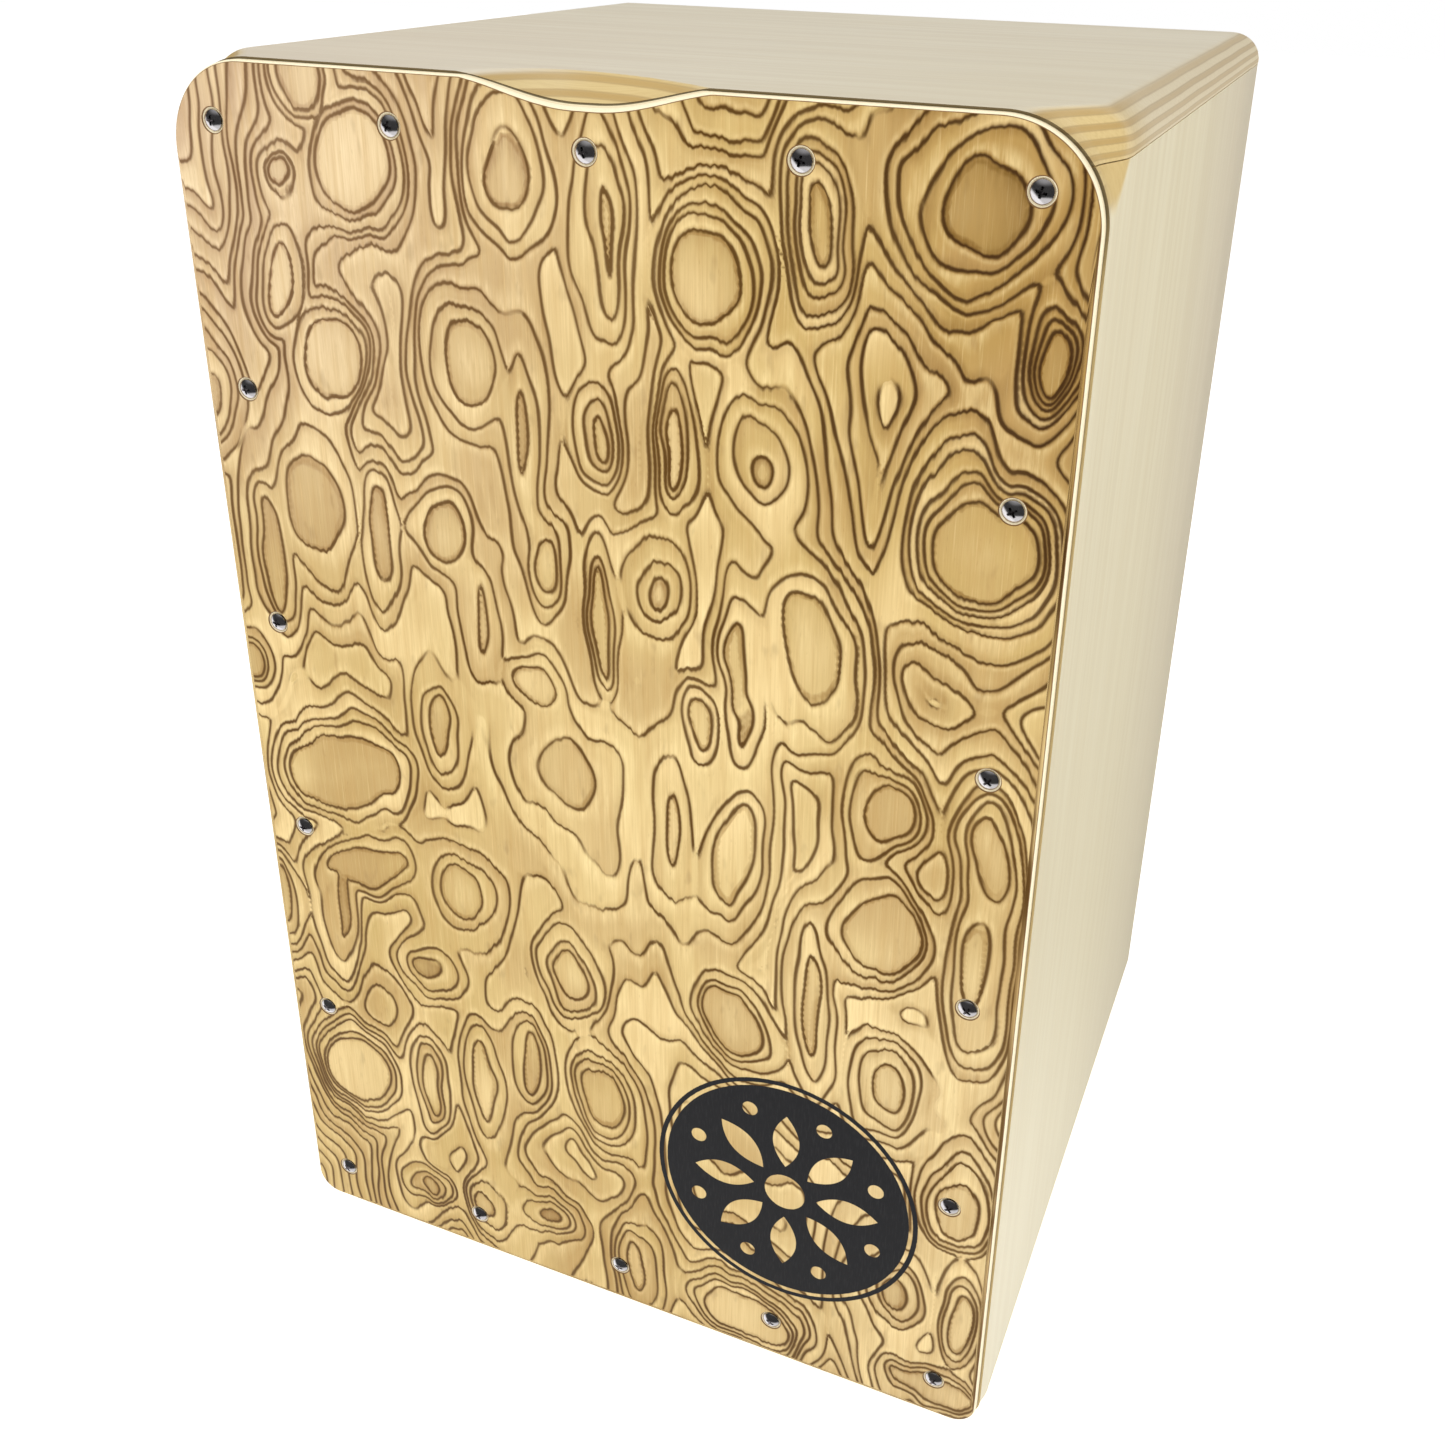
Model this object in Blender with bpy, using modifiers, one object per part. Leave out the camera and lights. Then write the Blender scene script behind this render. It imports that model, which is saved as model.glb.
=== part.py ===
"""Adult snare cajon, built as separate solid pieces.

A plywood box stands on four rubber feet. Its front is a thin veneered playing panel (the tapa), held
by eighteen raised-head screws to battens inside the box. Behind the tapa run four snare strings. Each
pair hangs from an anchor bar at the top and ends in a steel yoke at the bottom. A socket-head bolt
through the floor of the box draws each yoke down and so tightens its two strings.

Frame: metres, +Z up, the tapa on the -Y face, left is -X and right is +X, origin on the ground under
the middle of the box.
"""

import math

import bmesh
import bpy
from mathutils import Matrix, Vector

# ---------------------------------------------------------------- driving dimensions
MM = 0.001
BOX_W = 301 * MM  # across the side panels
BOX_D = 304 * MM  # from the front edges of the panels to the back
BOX_H = 476.5 * MM  # from the underside of the floor panel to the seat
FOOT_H = 10 * MM
SIDE_T = 13 * MM
TOP_T = 12.5 * MM
FLOOR_T = 13 * MM
BACK_T = 5 * MM
TAPA_T = 4 * MM
GAP = 0.3 * MM  # glue line or working clearance between neighbours
BATTEN = 15 * MM

EDGE_R = 12 * MM  # roundover on the seat's left, right and back edges
TAPA_W = 299.6 * MM
TAPA_R_TOP = 29 * MM
TAPA_R_BOTTOM = 10 * MM
TAPA_DROP = 0.6 * MM  # the tapa's top edge lies this far below the seat
TAPA_EASE = 1.0 * MM  # bevel round the tapa's playing face

HEAD_PROUD = 1.2 * MM  # tapa screw heads in front of the tapa
SHANK_R = 1.75 * MM  # all wood screws
BORE_R = SHANK_R + GAP

# derived planes: the screw heads and the back face are equally far from the origin
BACK = (BOX_D + GAP + TAPA_T + HEAD_PROUD) / 2
FRONT = BACK - BOX_D  # front edges of the box panels
TAPA_BACK = FRONT - GAP
TAPA_FRONT = TAPA_BACK - TAPA_T
BASE = FOOT_H
FLOOR_TOP = BASE + FLOOR_T
SEAT = BASE + BOX_H
HALF = BOX_W / 2
INNER = HALF - SIDE_T - GAP  # half width of what sits between the sides
INSIDE_LOW = FLOOR_TOP + GAP  # lowest and highest of what sits between floor and top panels
INSIDE_HIGH = SEAT - TOP_T - GAP

SIDES = {"left": -1, "right": 1}  # sign of x
FACING_FRONT = Matrix.Rotation(math.radians(90), 4, "X")  # local +Z to world -Y

# ---------------------------------------------------------------- scene and materials
for old in list(bpy.data.objects):
    bpy.data.objects.remove(old, do_unlink=True)
parts = bpy.data.collections.new("cajon")
cutters = bpy.data.collections.new("cutters")
bpy.context.scene.collection.children.link(parts)
bpy.context.scene.collection.children.link(cutters)


def material(name, rgb, roughness, metallic=0.0):
    made = bpy.data.materials.new(name)
    made.use_nodes = True
    shader = made.node_tree.nodes["Principled BSDF"]
    shader.inputs["Base Color"].default_value = (*rgb, 1.0)
    shader.inputs["Roughness"].default_value = roughness
    shader.inputs["Metallic"].default_value = metallic
    made.diffuse_color = (*rgb, 1.0)
    return made


SEAT_WOOD = material("birch_seat", rgb=(0.64, 0.58, 0.47), roughness=0.5)
SIDE_WOOD = material("birch_sides", rgb=(0.74, 0.68, 0.49), roughness=0.5)
TAPA_WOOD = material("figured_veneer", rgb=(0.60, 0.42, 0.20), roughness=0.42)
BATTEN_WOOD = material("pine_battens", rgb=(0.72, 0.55, 0.33), roughness=0.6)
ANCHOR_WOOD = material("beech_anchor", rgb=(0.58, 0.36, 0.20), roughness=0.5)
CHROME = material("chrome_screws", rgb=(0.80, 0.80, 0.82), roughness=0.12, metallic=1.0)
STEEL = material("zinc_steel", rgb=(0.60, 0.61, 0.63), roughness=0.32, metallic=1.0)
STRING_STEEL = material("string_steel", rgb=(0.72, 0.71, 0.68), roughness=0.25, metallic=1.0)
BRASS = material("brass_bushes", rgb=(0.70, 0.50, 0.22), roughness=0.3, metallic=1.0)
RUBBER = material("black_rubber", rgb=(0.025, 0.025, 0.027), roughness=0.75)


# ---------------------------------------------------------------- modelling helpers
def add(name, mesh, finish=None, matrix=None):
    """An object in the cajon's collection, or in the cutters' if it has no finish."""
    obj = bpy.data.objects.new(name, mesh)
    if matrix is not None:
        obj.matrix_world = matrix
    if finish is None:
        cutters.objects.link(obj)
        obj.hide_render = True
        obj.display_type = "WIRE"
    else:
        parts.objects.link(obj)
        if not mesh.materials:
            mesh.materials.append(finish)
    return obj


def to_mesh(name, shape):
    bmesh.ops.recalc_face_normals(shape, faces=shape.faces)
    mesh = bpy.data.meshes.new(name)
    shape.to_mesh(mesh)
    shape.free()
    return mesh


def add_shape(name, shape, finish=None):
    return add(name, to_mesh(name, shape), finish)


def box_shape(low, high):
    shape = bmesh.new()
    size = [b - a for a, b in zip(low, high)]
    middle = [(a + b) / 2 for a, b in zip(low, high)]
    placed = Matrix.Translation(middle) @ Matrix.Diagonal((*size, 1.0))
    bmesh.ops.create_cube(shape, size=1.0, matrix=placed)
    return shape


def box(name, low, high, finish=None):
    return add_shape(name, box_shape(low, high), finish)


def rod_cutter(name, radius, depth, segments, matrix):
    """A cylinder along the matrix's Z, centred on its origin."""
    shape = bmesh.new()
    bmesh.ops.create_cone(
        shape,
        cap_ends=True,
        segments=segments,
        radius1=radius,
        radius2=radius,
        depth=depth,
        matrix=matrix,
    )
    return add_shape(name, shape)


def near(a, b):
    return abs(a - b) < 1e-5


def bevel(shape, edges, size, segments):
    bmesh.ops.bevel(
        shape,
        geom=edges,
        offset=size,
        offset_type="OFFSET",
        segments=segments,
        profile=0.5,
        affect="EDGES",
    )


def bevel_where(shape, chosen, size, segments):
    """Bevels the edges whose two ends both satisfy chosen(x, y, z)."""
    edges = [edge for edge in shape.edges if all(chosen(*vert.co) for vert in edge.verts)]
    bevel(shape, edges, size, segments)


def raise_far_end(shape, faces, move):
    """Extrudes the faces and applies move to the coordinate of each new vertex."""
    for item in bmesh.ops.extrude_face_region(shape, geom=faces)["geom"]:
        if isinstance(item, bmesh.types.BMVert):
            move(item.co)


def evaluated_mesh(obj, name):
    """The object's mesh with its modifiers applied; the object itself is removed."""
    bpy.context.view_layer.update()
    graph = bpy.context.evaluated_depsgraph_get()
    mesh = bpy.data.meshes.new_from_object(obj.evaluated_get(graph))
    mesh.name = name
    bpy.data.objects.remove(obj, do_unlink=True)
    return mesh


def turned_mesh(name, profile, steps):
    """A closed mesh turned about Z from (radius, height) points listed down its outer side."""
    line = bpy.data.meshes.new(name + "_profile")
    links = [(i, i + 1) for i in range(len(profile) - 1)]
    line.from_pydata([(radius, 0.0, z) for radius, z in profile], links, [])
    source = bpy.data.objects.new(name + "_profile", line)
    cutters.objects.link(source)
    turn = source.modifiers.new("turn", "SCREW")
    turn.axis = "Z"
    turn.angle = 2 * math.pi
    turn.steps = turn.render_steps = steps
    turn.use_merge_vertices = True
    turn.merge_threshold = 0.01 * MM
    shape = bmesh.new()
    shape.from_mesh(evaluated_mesh(source, name + "_turned"))
    bmesh.ops.remove_doubles(shape, verts=shape.verts, dist=0.005 * MM)
    mesh = to_mesh(name, shape)
    mesh.shade_smooth()
    mesh.set_sharp_from_angle(angle=math.radians(35))
    return mesh


def copies(name, mesh, matrices):
    """One cutter holding a copy of the mesh at each matrix."""
    shape = bmesh.new()
    for matrix in matrices:
        one = mesh.copy()
        one.transform(matrix)
        shape.from_mesh(one)
        bpy.data.meshes.remove(one)
    return add_shape(name, shape)


def cut(obj, *tools):
    for tool in tools:
        boolean = obj.modifiers.new("cut_" + tool.name, "BOOLEAN")
        boolean.operation = "DIFFERENCE"
        boolean.solver = "EXACT"
        boolean.object = tool


# ---------------------------------------------------------------- front corners and hand hollow
BODY_R_TOP = TAPA_R_TOP + 0.7 * MM  # the box's top corners where they meet the tapa
RELIEF_D = 26 * MM  # how far back the front corners are shaped to follow the tapa
RELIEF_OVERRUN = 2 * MM  # the cutter's length beyond both ends of that depth
RELIEF_MARGIN = 8 * MM  # the cutter's reach outside the box
RUN_OUT, RUN_OUT_SLOPE = 4 * MM, 0.35  # its radius shrinks faster from this far before RELIEF_D

SCOOP_FLAT, SCOOP_DEPTH = 3 * MM, 7.6 * MM  # full depth this far either side of the middle
SCOOP_RUN = (48 * MM, 47 * MM)  # the slopes on the left and the right
SCOOP_LEFT, SCOOP_RIGHT = -47 * MM, 39 * MM  # ends of the hollow on the seat
SCOOP_REACH = 56 * MM  # scales how far the hollow runs back
SCOOP_LIFT = 0.25 * MM  # the cutter's height above the seat outside the hollow
SCOOP_EASE_DEPTH = 1.5 * MM  # depth from which the tapa's bevel has its full size
SCOOP_CUTTER_W, SCOOP_CUTTER_H, SCOOP_COLUMNS = 108 * MM, 12 * MM, 26
# distances behind the front edges of the panels
SCOOP_ROWS = [-7 * MM, -GAP - TAPA_T, -GAP - TAPA_T + TAPA_EASE, -0.15 * MM]
SCOOP_ROWS += [4 * MM, 8.5 * MM, 13 * MM, 19 * MM, 27 * MM]


def clamp01(value):
    return min(max(value, 0.0), 1.0)


def corner_relief(hand, side):
    """Removes what lies outside a top corner.

    The corner's radius falls from the tapa's at the front to under the roundover's.
    """
    stations, points = 8, 11
    shape = bmesh.new()
    rings = []
    for i in range(stations + 1):
        back = -RELIEF_OVERRUN + (RELIEF_D + 2 * RELIEF_OVERRUN) * i / stations
        share = clamp01(back / RELIEF_D)
        radius = BODY_R_TOP - (BODY_R_TOP - EDGE_R) * share * share * (3 - 2 * share)
        radius -= max(0.0, back - RELIEF_D + RUN_OUT) * RUN_OUT_SLOPE
        centre_x, centre_z = HALF - radius, SEAT - radius
        outside_x, outside_z = HALF + RELIEF_MARGIN, SEAT + RELIEF_MARGIN
        ring = []
        for k in range(points + 1):
            turn = math.pi / 2 * (1 - k / points)
            ring.append((centre_x + radius * math.cos(turn), centre_z + radius * math.sin(turn)))
        ring += [(outside_x, centre_z), (outside_x, outside_z), (centre_x, outside_z)]
        rings.append([shape.verts.new((side * x, FRONT + back, z)) for x, z in ring])
    count = len(rings[0])
    for one, two in zip(rings, rings[1:]):
        for k in range(count):
            following = (k + 1) % count
            shape.faces.new((one[k], one[following], two[following], two[k]))
    shape.faces.new(rings[0])
    shape.faces.new(rings[-1])
    bmesh.ops.triangulate(shape, faces=shape.faces)
    return add_shape("relief_" + hand, shape)


def scoop_depth(x, back):
    """Depth of the hollow below the seat, at a distance behind the front edges of the panels."""
    across = max(0.0, abs(x) - SCOOP_FLAT) / (SCOOP_RUN[0] if x < 0 else SCOOP_RUN[1])
    slope = math.cos(math.pi / 2 * across) ** 2 if across < 1 else 0.0
    share = clamp01((x - SCOOP_LEFT) / (SCOOP_RIGHT - SCOOP_LEFT))
    reach = SCOOP_REACH * math.sqrt(share) * (1 - share)
    run = (back + TAPA_T) / (reach + TAPA_T)
    depth = (SCOOP_DEPTH + SCOOP_LIFT) * slope * (1 - run) - SCOOP_LIFT
    # the bevel of the playing face carries on through the hollow
    ease = min(TAPA_EASE, max(0.0, TAPA_EASE - (back + GAP + TAPA_T)))
    return depth + ease * clamp01(depth / SCOOP_EASE_DEPTH)


def scoop_cutter():
    shape = bmesh.new()
    deep = len(SCOOP_ROWS) - 1
    bmesh.ops.create_grid(shape, x_segments=SCOOP_COLUMNS, y_segments=deep, size=0.5)
    for vert in shape.verts:
        x = vert.co.x * SCOOP_CUTTER_W
        back = SCOOP_ROWS[round((vert.co.y + 0.5) * deep)]
        vert.co = (x, FRONT + back, SEAT - scoop_depth(x, back))
    bmesh.ops.triangulate(shape, faces=shape.faces)

    def to_top(point):
        point.z = SEAT + SCOOP_CUTTER_H

    raise_far_end(shape, list(shape.faces), to_top)
    return add_shape("scoop", shape)


# ---------------------------------------------------------------- the box and its battens
BACK_EDGE_R = 1.5 * MM  # side panels' outer back edges
BOTTOM_EDGE_R = 0.8 * MM  # side panels' outer bottom edges
PORT_R, PORT_Z = 57.5 * MM, 318 * MM  # sound port, height above the floor panel's underside


def side_panel(hand, side, relief):
    low, high = sorted((side * (HALF - SIDE_T), side * HALF))
    shape = box_shape((low, FRONT, BASE), (high, BACK, INSIDE_HIGH))
    bevel_where(shape, lambda x, y, z: near(x, side * HALF) and near(y, BACK), BACK_EDGE_R, 3)
    bevel_where(shape, lambda x, y, z: near(z, BASE) and near(abs(x), HALF), BOTTOM_EDGE_R, 2)
    cut(add_shape("side_" + hand, shape, SIDE_WOOD), relief)


def top_panel(tools):
    shape = box_shape((-HALF, FRONT, SEAT - TOP_T), (HALF, BACK, SEAT))
    rounded = []
    for edge in shape.edges:
        one, two = (vert.co for vert in edge.verts)
        if near(one.z, SEAT) and near(two.z, SEAT):
            if near(one.x, two.x) or (near(one.y, BACK) and near(two.y, BACK)):
                rounded.append(edge)
    bevel(shape, rounded, EDGE_R, 7)
    cut(add_shape("top_panel", shape, SEAT_WOOD), *tools)


def back_panel():
    panel = box(
        "back_panel", (-INNER, BACK - BACK_T, INSIDE_LOW), (INNER, BACK, INSIDE_HIGH), SIDE_WOOD
    )
    place = Matrix.Translation((0, BACK, BASE + PORT_Z)) @ FACING_FRONT
    cut(panel, rod_cutter("sound_port", PORT_R, depth=30 * MM, segments=56, matrix=place))


def battens(place, near_y):
    """A frame of four battens between the sides; the top one comes first."""
    far_y = near_y + BATTEN
    under_top, over_bottom = INSIDE_HIGH - BATTEN, INSIDE_LOW + BATTEN
    spans = {  # name: low x, high x, low z, high z
        "top": (-INNER, INNER, under_top, INSIDE_HIGH),
        "bottom": (-INNER, INNER, INSIDE_LOW, over_bottom),
        "left": (-INNER, BATTEN - INNER, over_bottom + GAP, under_top - GAP),
        "right": (INNER - BATTEN, INNER, over_bottom + GAP, under_top - GAP),
    }
    return [
        box(f"{place}_batten_{word}", (left, near_y, low), (right, far_y, high), BATTEN_WOOD)
        for word, (left, right, low, high) in spans.items()
    ]


# ---------------------------------------------------------------- the tapa and its screws
SCREW_X = 133 * MM  # outer columns of tapa screws
SCREW_LOW, SCREW_HIGH = 18 * MM, 457.2 * MM  # end rows, above the floor panel's underside
SCREW_HIGH_INNER = 459.9 * MM  # the two top screws beside the hollow sit a little higher
SCREW_LEN = 16 * MM
HEAD_R, SINK_R = 3.3 * MM, 4.2 * MM
RECESS_ARM, RECESS_SLOT = 1.9 * MM, 1.05 * MM  # cross punch: arm length and slot width
RECESS_TOP, RECESS_DEPTH, RECESS_TAPER = 2.0 * MM, 3.1 * MM, 0.45

# (radius, height), height zero on the playing face
SCREW_PROFILE = [
    (0, HEAD_PROUD),
    (1.1 * MM, HEAD_PROUD),
    (2.3 * MM, 0.8 * MM),
    (HEAD_R, -0.1 * MM),
    (SHANK_R, -1.65 * MM),
    (SHANK_R, -SCREW_LEN + 2.5 * MM),
    (0, -SCREW_LEN),
]
# a 45 degree countersink, SINK_R at the playing face, over a straight bore
SCREW_BORE_PROFILE = [
    (0, MM),
    (SINK_R + MM, MM),
    (BORE_R, BORE_R - SINK_R),
    (BORE_R, -SCREW_LEN - 0.4 * MM),
    (0, -SCREW_LEN - MM),
]


def screw_places():
    """Matrices of the tapa screws, clockwise from the top left as seen from the front."""
    columns = [SCREW_X * k / 2 for k in range(-2, 3)]
    top_row = (SCREW_HIGH, SCREW_HIGH_INNER, SCREW_HIGH, SCREW_HIGH_INNER, SCREW_HIGH)
    rows = [SCREW_LOW + (SCREW_HIGH - SCREW_LOW) / 5 * k for k in (1, 2, 3, 4)]
    places = list(zip(columns, top_row))
    places += [(SCREW_X, z) for z in reversed(rows)]
    places += [(x, SCREW_LOW) for x in reversed(columns)]
    places += [(-SCREW_X, z) for z in rows]
    return [Matrix.Translation((x, TAPA_FRONT, BASE + z)) @ FACING_FRONT for x, z in places]


def front_panel(tools):
    top = SEAT - TAPA_DROP
    shape = box_shape((-TAPA_W / 2, TAPA_FRONT, BASE), (TAPA_W / 2, TAPA_BACK, top))
    for height, radius, segments in ((top, TAPA_R_TOP, 12), (BASE, TAPA_R_BOTTOM, 6)):
        corners = []
        for edge in shape.edges:
            one, two = (vert.co for vert in edge.verts)
            if near(one.x, two.x) and near(one.z, height) and near(two.z, height):
                corners.append(edge)
        bevel(shape, corners, radius, segments)
    bevel_where(shape, lambda x, y, z: near(y, TAPA_FRONT), TAPA_EASE, 1)
    cut(add_shape("front_panel", shape, TAPA_WOOD), *tools)


def cross_recess():
    """A tapering cross-shaped punch, pointing down."""
    arm, side = RECESS_ARM, RECESS_SLOT / 2
    outline = [
        (arm, -side), (arm, side), (side, side), (side, arm), (-side, arm), (-side, side),
        (-arm, side), (-arm, -side), (-side, -side), (-side, -arm), (side, -arm), (side, -side),
    ]
    shape = bmesh.new()
    face = shape.faces.new([shape.verts.new((x, y, RECESS_TOP)) for x, y in outline])

    def to_tip(point):
        point.x *= RECESS_TAPER
        point.y *= RECESS_TAPER
        point.z = RECESS_TOP - RECESS_DEPTH

    raise_far_end(shape, [face], to_tip)
    return add_shape("cross_recess", shape)


def front_screws(matrices):
    blank = add("front_screw_blank", turned_mesh("front_screw_blank", SCREW_PROFILE, 14), CHROME)
    cut(blank, cross_recess())
    mesh = evaluated_mesh(blank, "front_screw")
    for number, matrix in enumerate(matrices, 1):
        add(f"front_screw_{number:02d}", mesh, CHROME, matrix)


# ---------------------------------------------------------------- feet
FOOT_X, FOOT_Y = 112 * MM, 112 * MM
FOOT_R_TOP, FOOT_R_LOW = 15 * MM, 13 * MM
FOOT_BORE_R = 2.3 * MM
FOOT_SINK = 5.2 * MM  # radius and height of the pocket for the screw head
FOOT_HEAD_R, FOOT_HEAD_TOP = 4.0 * MM, 4.9 * MM

# (radius, height above the ground)
FOOT_PROFILE = [
    (FOOT_BORE_R, FOOT_H - GAP),
    (FOOT_R_TOP, FOOT_H - GAP),
    (FOOT_R_TOP, FOOT_H - 3 * MM),
    (FOOT_R_LOW, 0.8 * MM),
    (FOOT_R_LOW - 0.8 * MM, 0),
    (FOOT_SINK, 0),
    (FOOT_SINK, FOOT_SINK),
    (FOOT_BORE_R, FOOT_SINK),
    (FOOT_BORE_R, FOOT_H - GAP),
]
FOOT_SCREW_PROFILE = [
    (0, 19 * MM),
    (SHANK_R, 17 * MM),
    (SHANK_R, FOOT_HEAD_TOP),
    (FOOT_HEAD_R, FOOT_HEAD_TOP),
    (FOOT_HEAD_R, 3.6 * MM),
    (2.6 * MM, 2.4 * MM),
    (0, 2.2 * MM),
]
PILOT_PROFILE = [(0, 19.6 * MM), (BORE_R, 19.2 * MM), (BORE_R, 5 * MM), (0, 5 * MM)]


def feet(floor):
    foot_mesh = turned_mesh("foot", FOOT_PROFILE, 18)
    screw_mesh = turned_mesh("foot_screw", FOOT_SCREW_PROFILE, 14)
    places = []
    for end, y in (("front", -FOOT_Y), ("back", FOOT_Y)):
        for hand, side in SIDES.items():
            place = Matrix.Translation((side * FOOT_X, y, 0))
            add(f"foot_{end}_{hand}", foot_mesh, RUBBER, place)
            add(f"foot_screw_{end}_{hand}", screw_mesh, STEEL, place)
            places.append(place)
    cut(floor, copies("foot_pilots", turned_mesh("pilot", PILOT_PROFILE, 14), places))


# ---------------------------------------------------------------- tuners
# Each has a bush in the floor panel, a bolt that turns in it and a yoke that climbs the bolt.
BOLT_X = 45 * MM  # either side of the middle
BOLT_Y = FRONT + 24 * MM
BOLT_R, BOLT_HEAD_R, BOLT_HEAD_H = 3.0 * MM, 5.0 * MM, 6.0 * MM
BOLT_LEN = 42 * MM
SOCKET_FLATS, SOCKET_DEPTH, SOCKET_CUTTER_H = 5 * MM, 3.1 * MM, 8 * MM
BUSH_BORE_R = BOLT_R + 0.35 * MM
BUSH_R, FLANGE_R, FLANGE_T = 4.3 * MM, 7.1 * MM, 1.2 * MM
BUSH_TOP = FLOOR_TOP + 1.5 * MM
BUSH_HOLE_R, COUNTERBORE_R = 4.6 * MM, 7.6 * MM
COUNTERBORE_TOP = BASE + 6 * MM
FLANGE_TOP = COUNTERBORE_TOP - GAP
FLANGE_LOW = FLANGE_TOP - FLANGE_T
HEAD_TOP = FLANGE_LOW - GAP
HEAD_LOW = HEAD_TOP - BOLT_HEAD_H
YOKE_W, YOKE_D, YOKE_H = 34 * MM, 12 * MM, 10 * MM
YOKE_CORNER_R = 2 * MM
YOKE_LOW = BASE + 30 * MM  # yoke's underside, strings at playing tension

# (radius, height above the ground)
BUSH_PROFILE = [
    (BUSH_BORE_R, BUSH_TOP),
    (BUSH_R, BUSH_TOP),
    (BUSH_R, FLANGE_TOP),
    (FLANGE_R, FLANGE_TOP),
    (FLANGE_R, FLANGE_LOW),
    (BUSH_BORE_R, FLANGE_LOW),
    (BUSH_BORE_R, BUSH_TOP),
]
BUSH_HOLE_PROFILE = [
    (0, FLOOR_TOP + MM),
    (BUSH_HOLE_R, FLOOR_TOP + MM),
    (BUSH_HOLE_R, COUNTERBORE_TOP),
    (COUNTERBORE_R, COUNTERBORE_TOP),
    (COUNTERBORE_R, BASE - MM),
    (0, BASE - MM),
]
BOLT_PROFILE = [
    (0, HEAD_TOP + BOLT_LEN),
    (BOLT_R - 0.6 * MM, HEAD_TOP + BOLT_LEN),
    (BOLT_R, HEAD_TOP + BOLT_LEN - 0.7 * MM),
    (BOLT_R, HEAD_TOP),
    (BOLT_HEAD_R, HEAD_TOP),
    (BOLT_HEAD_R, HEAD_LOW + 0.4 * MM),
    (BOLT_HEAD_R - 0.4 * MM, HEAD_LOW),
    (0, HEAD_LOW),
]


def tuner_bolt_mesh():
    blank = add("tuner_bolt_blank", turned_mesh("tuner_bolt_blank", BOLT_PROFILE, 20), STEEL)
    centre = Matrix.Translation((0, 0, HEAD_LOW + SOCKET_DEPTH - SOCKET_CUTTER_H / 2))
    corner_r = SOCKET_FLATS / 2 / math.cos(math.pi / 6)
    cut(blank, rod_cutter("hex_socket", corner_r, SOCKET_CUTTER_H, segments=6, matrix=centre))
    return evaluated_mesh(blank, "tuner_bolt")


def tuners(floor):
    """Adds bushes, bolts and yokes, and returns the yokes by hand."""
    bush_mesh = turned_mesh("tuner_bush", BUSH_PROFILE, 20)
    bolt_mesh = tuner_bolt_mesh()
    axes = []
    yokes = {}
    for hand, side in SIDES.items():
        axis = Matrix.Translation((side * BOLT_X, BOLT_Y, 0))
        axes.append(axis)
        add("tuner_bush_" + hand, bush_mesh, BRASS, axis)
        add("tuner_bolt_" + hand, bolt_mesh, STEEL, axis)
        yokes[hand] = string_yoke(hand, side * BOLT_X)
    cut(floor, copies("tuner_seats", turned_mesh("tuner_seat", BUSH_HOLE_PROFILE, 20), axes))
    return yokes


def string_yoke(hand, middle):
    half_w, half_d = YOKE_W / 2, YOKE_D / 2
    low = (middle - half_w, BOLT_Y - half_d, YOKE_LOW)
    high = (middle + half_w, BOLT_Y + half_d, YOKE_LOW + YOKE_H)

    def upright(x, y, z):
        return near(abs(x - middle), half_w) and near(abs(y - BOLT_Y), half_d)

    shape = box_shape(low, high)
    bevel_where(shape, upright, YOKE_CORNER_R, 3)
    yoke = add_shape("string_yoke_" + hand, shape, STEEL)
    place = Matrix.Translation((middle, BOLT_Y, YOKE_LOW))
    cut(yoke, rod_cutter("yoke_bore_" + hand, BUSH_BORE_R, 40 * MM, segments=20, matrix=place))
    return yoke


# ---------------------------------------------------------------- anchor bar and strings
ANCHOR_W, ANCHOR_D, ANCHOR_H = 170 * MM, 12 * MM, 14 * MM
ANCHOR_HIGH = INSIDE_HIGH - BATTEN - GAP
ANCHOR_LOW = ANCHOR_HIGH - ANCHOR_H
ANCHOR_SCREW_X, ANCHOR_SCREW_Y = 52 * MM, FRONT + ANCHOR_D * 0.6
STRING_R, STRING_HOLE_R = 0.4 * MM, 0.85 * MM
FERRULE_R, FERRULE_H = 1.3 * MM, 3.0 * MM
STRING_SPREAD = 11 * MM  # either side of the bolt, at the yoke
# name: direction from the bolt (-1 is towards the middle), distance from the middle at the top
STRINGS = {"inner": (-1, 30 * MM), "outer": (1, 75 * MM)}
STRING_TOP_Y, STRING_TOP_Z = FRONT + 1.5 * MM, ANCHOR_HIGH - 5 * MM
SLOT_W, SLOT_D = 2.4 * MM, 3 * MM
POCKET_W, POCKET_D = 4 * MM, 3.6 * MM
OVERCUT = 2 * MM  # slot and pocket cutters beyond the bar's faces

# (radius, height above the anchor bar's underside)
ANCHOR_SCREW_PROFILE = [
    (0, 24 * MM),
    (SHANK_R, 21.5 * MM),
    (SHANK_R, 2.2 * MM),
    (3.6 * MM, 0.35 * MM),
    (3.6 * MM, 0.1 * MM),
    (0, 0.1 * MM),
]
ANCHOR_BORE_PROFILE = [
    (0, 24.8 * MM),
    (BORE_R, 24.5 * MM),
    (BORE_R, 2.35 * MM),
    (5.4 * MM, -MM),
    (0, -MM),
]


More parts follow.
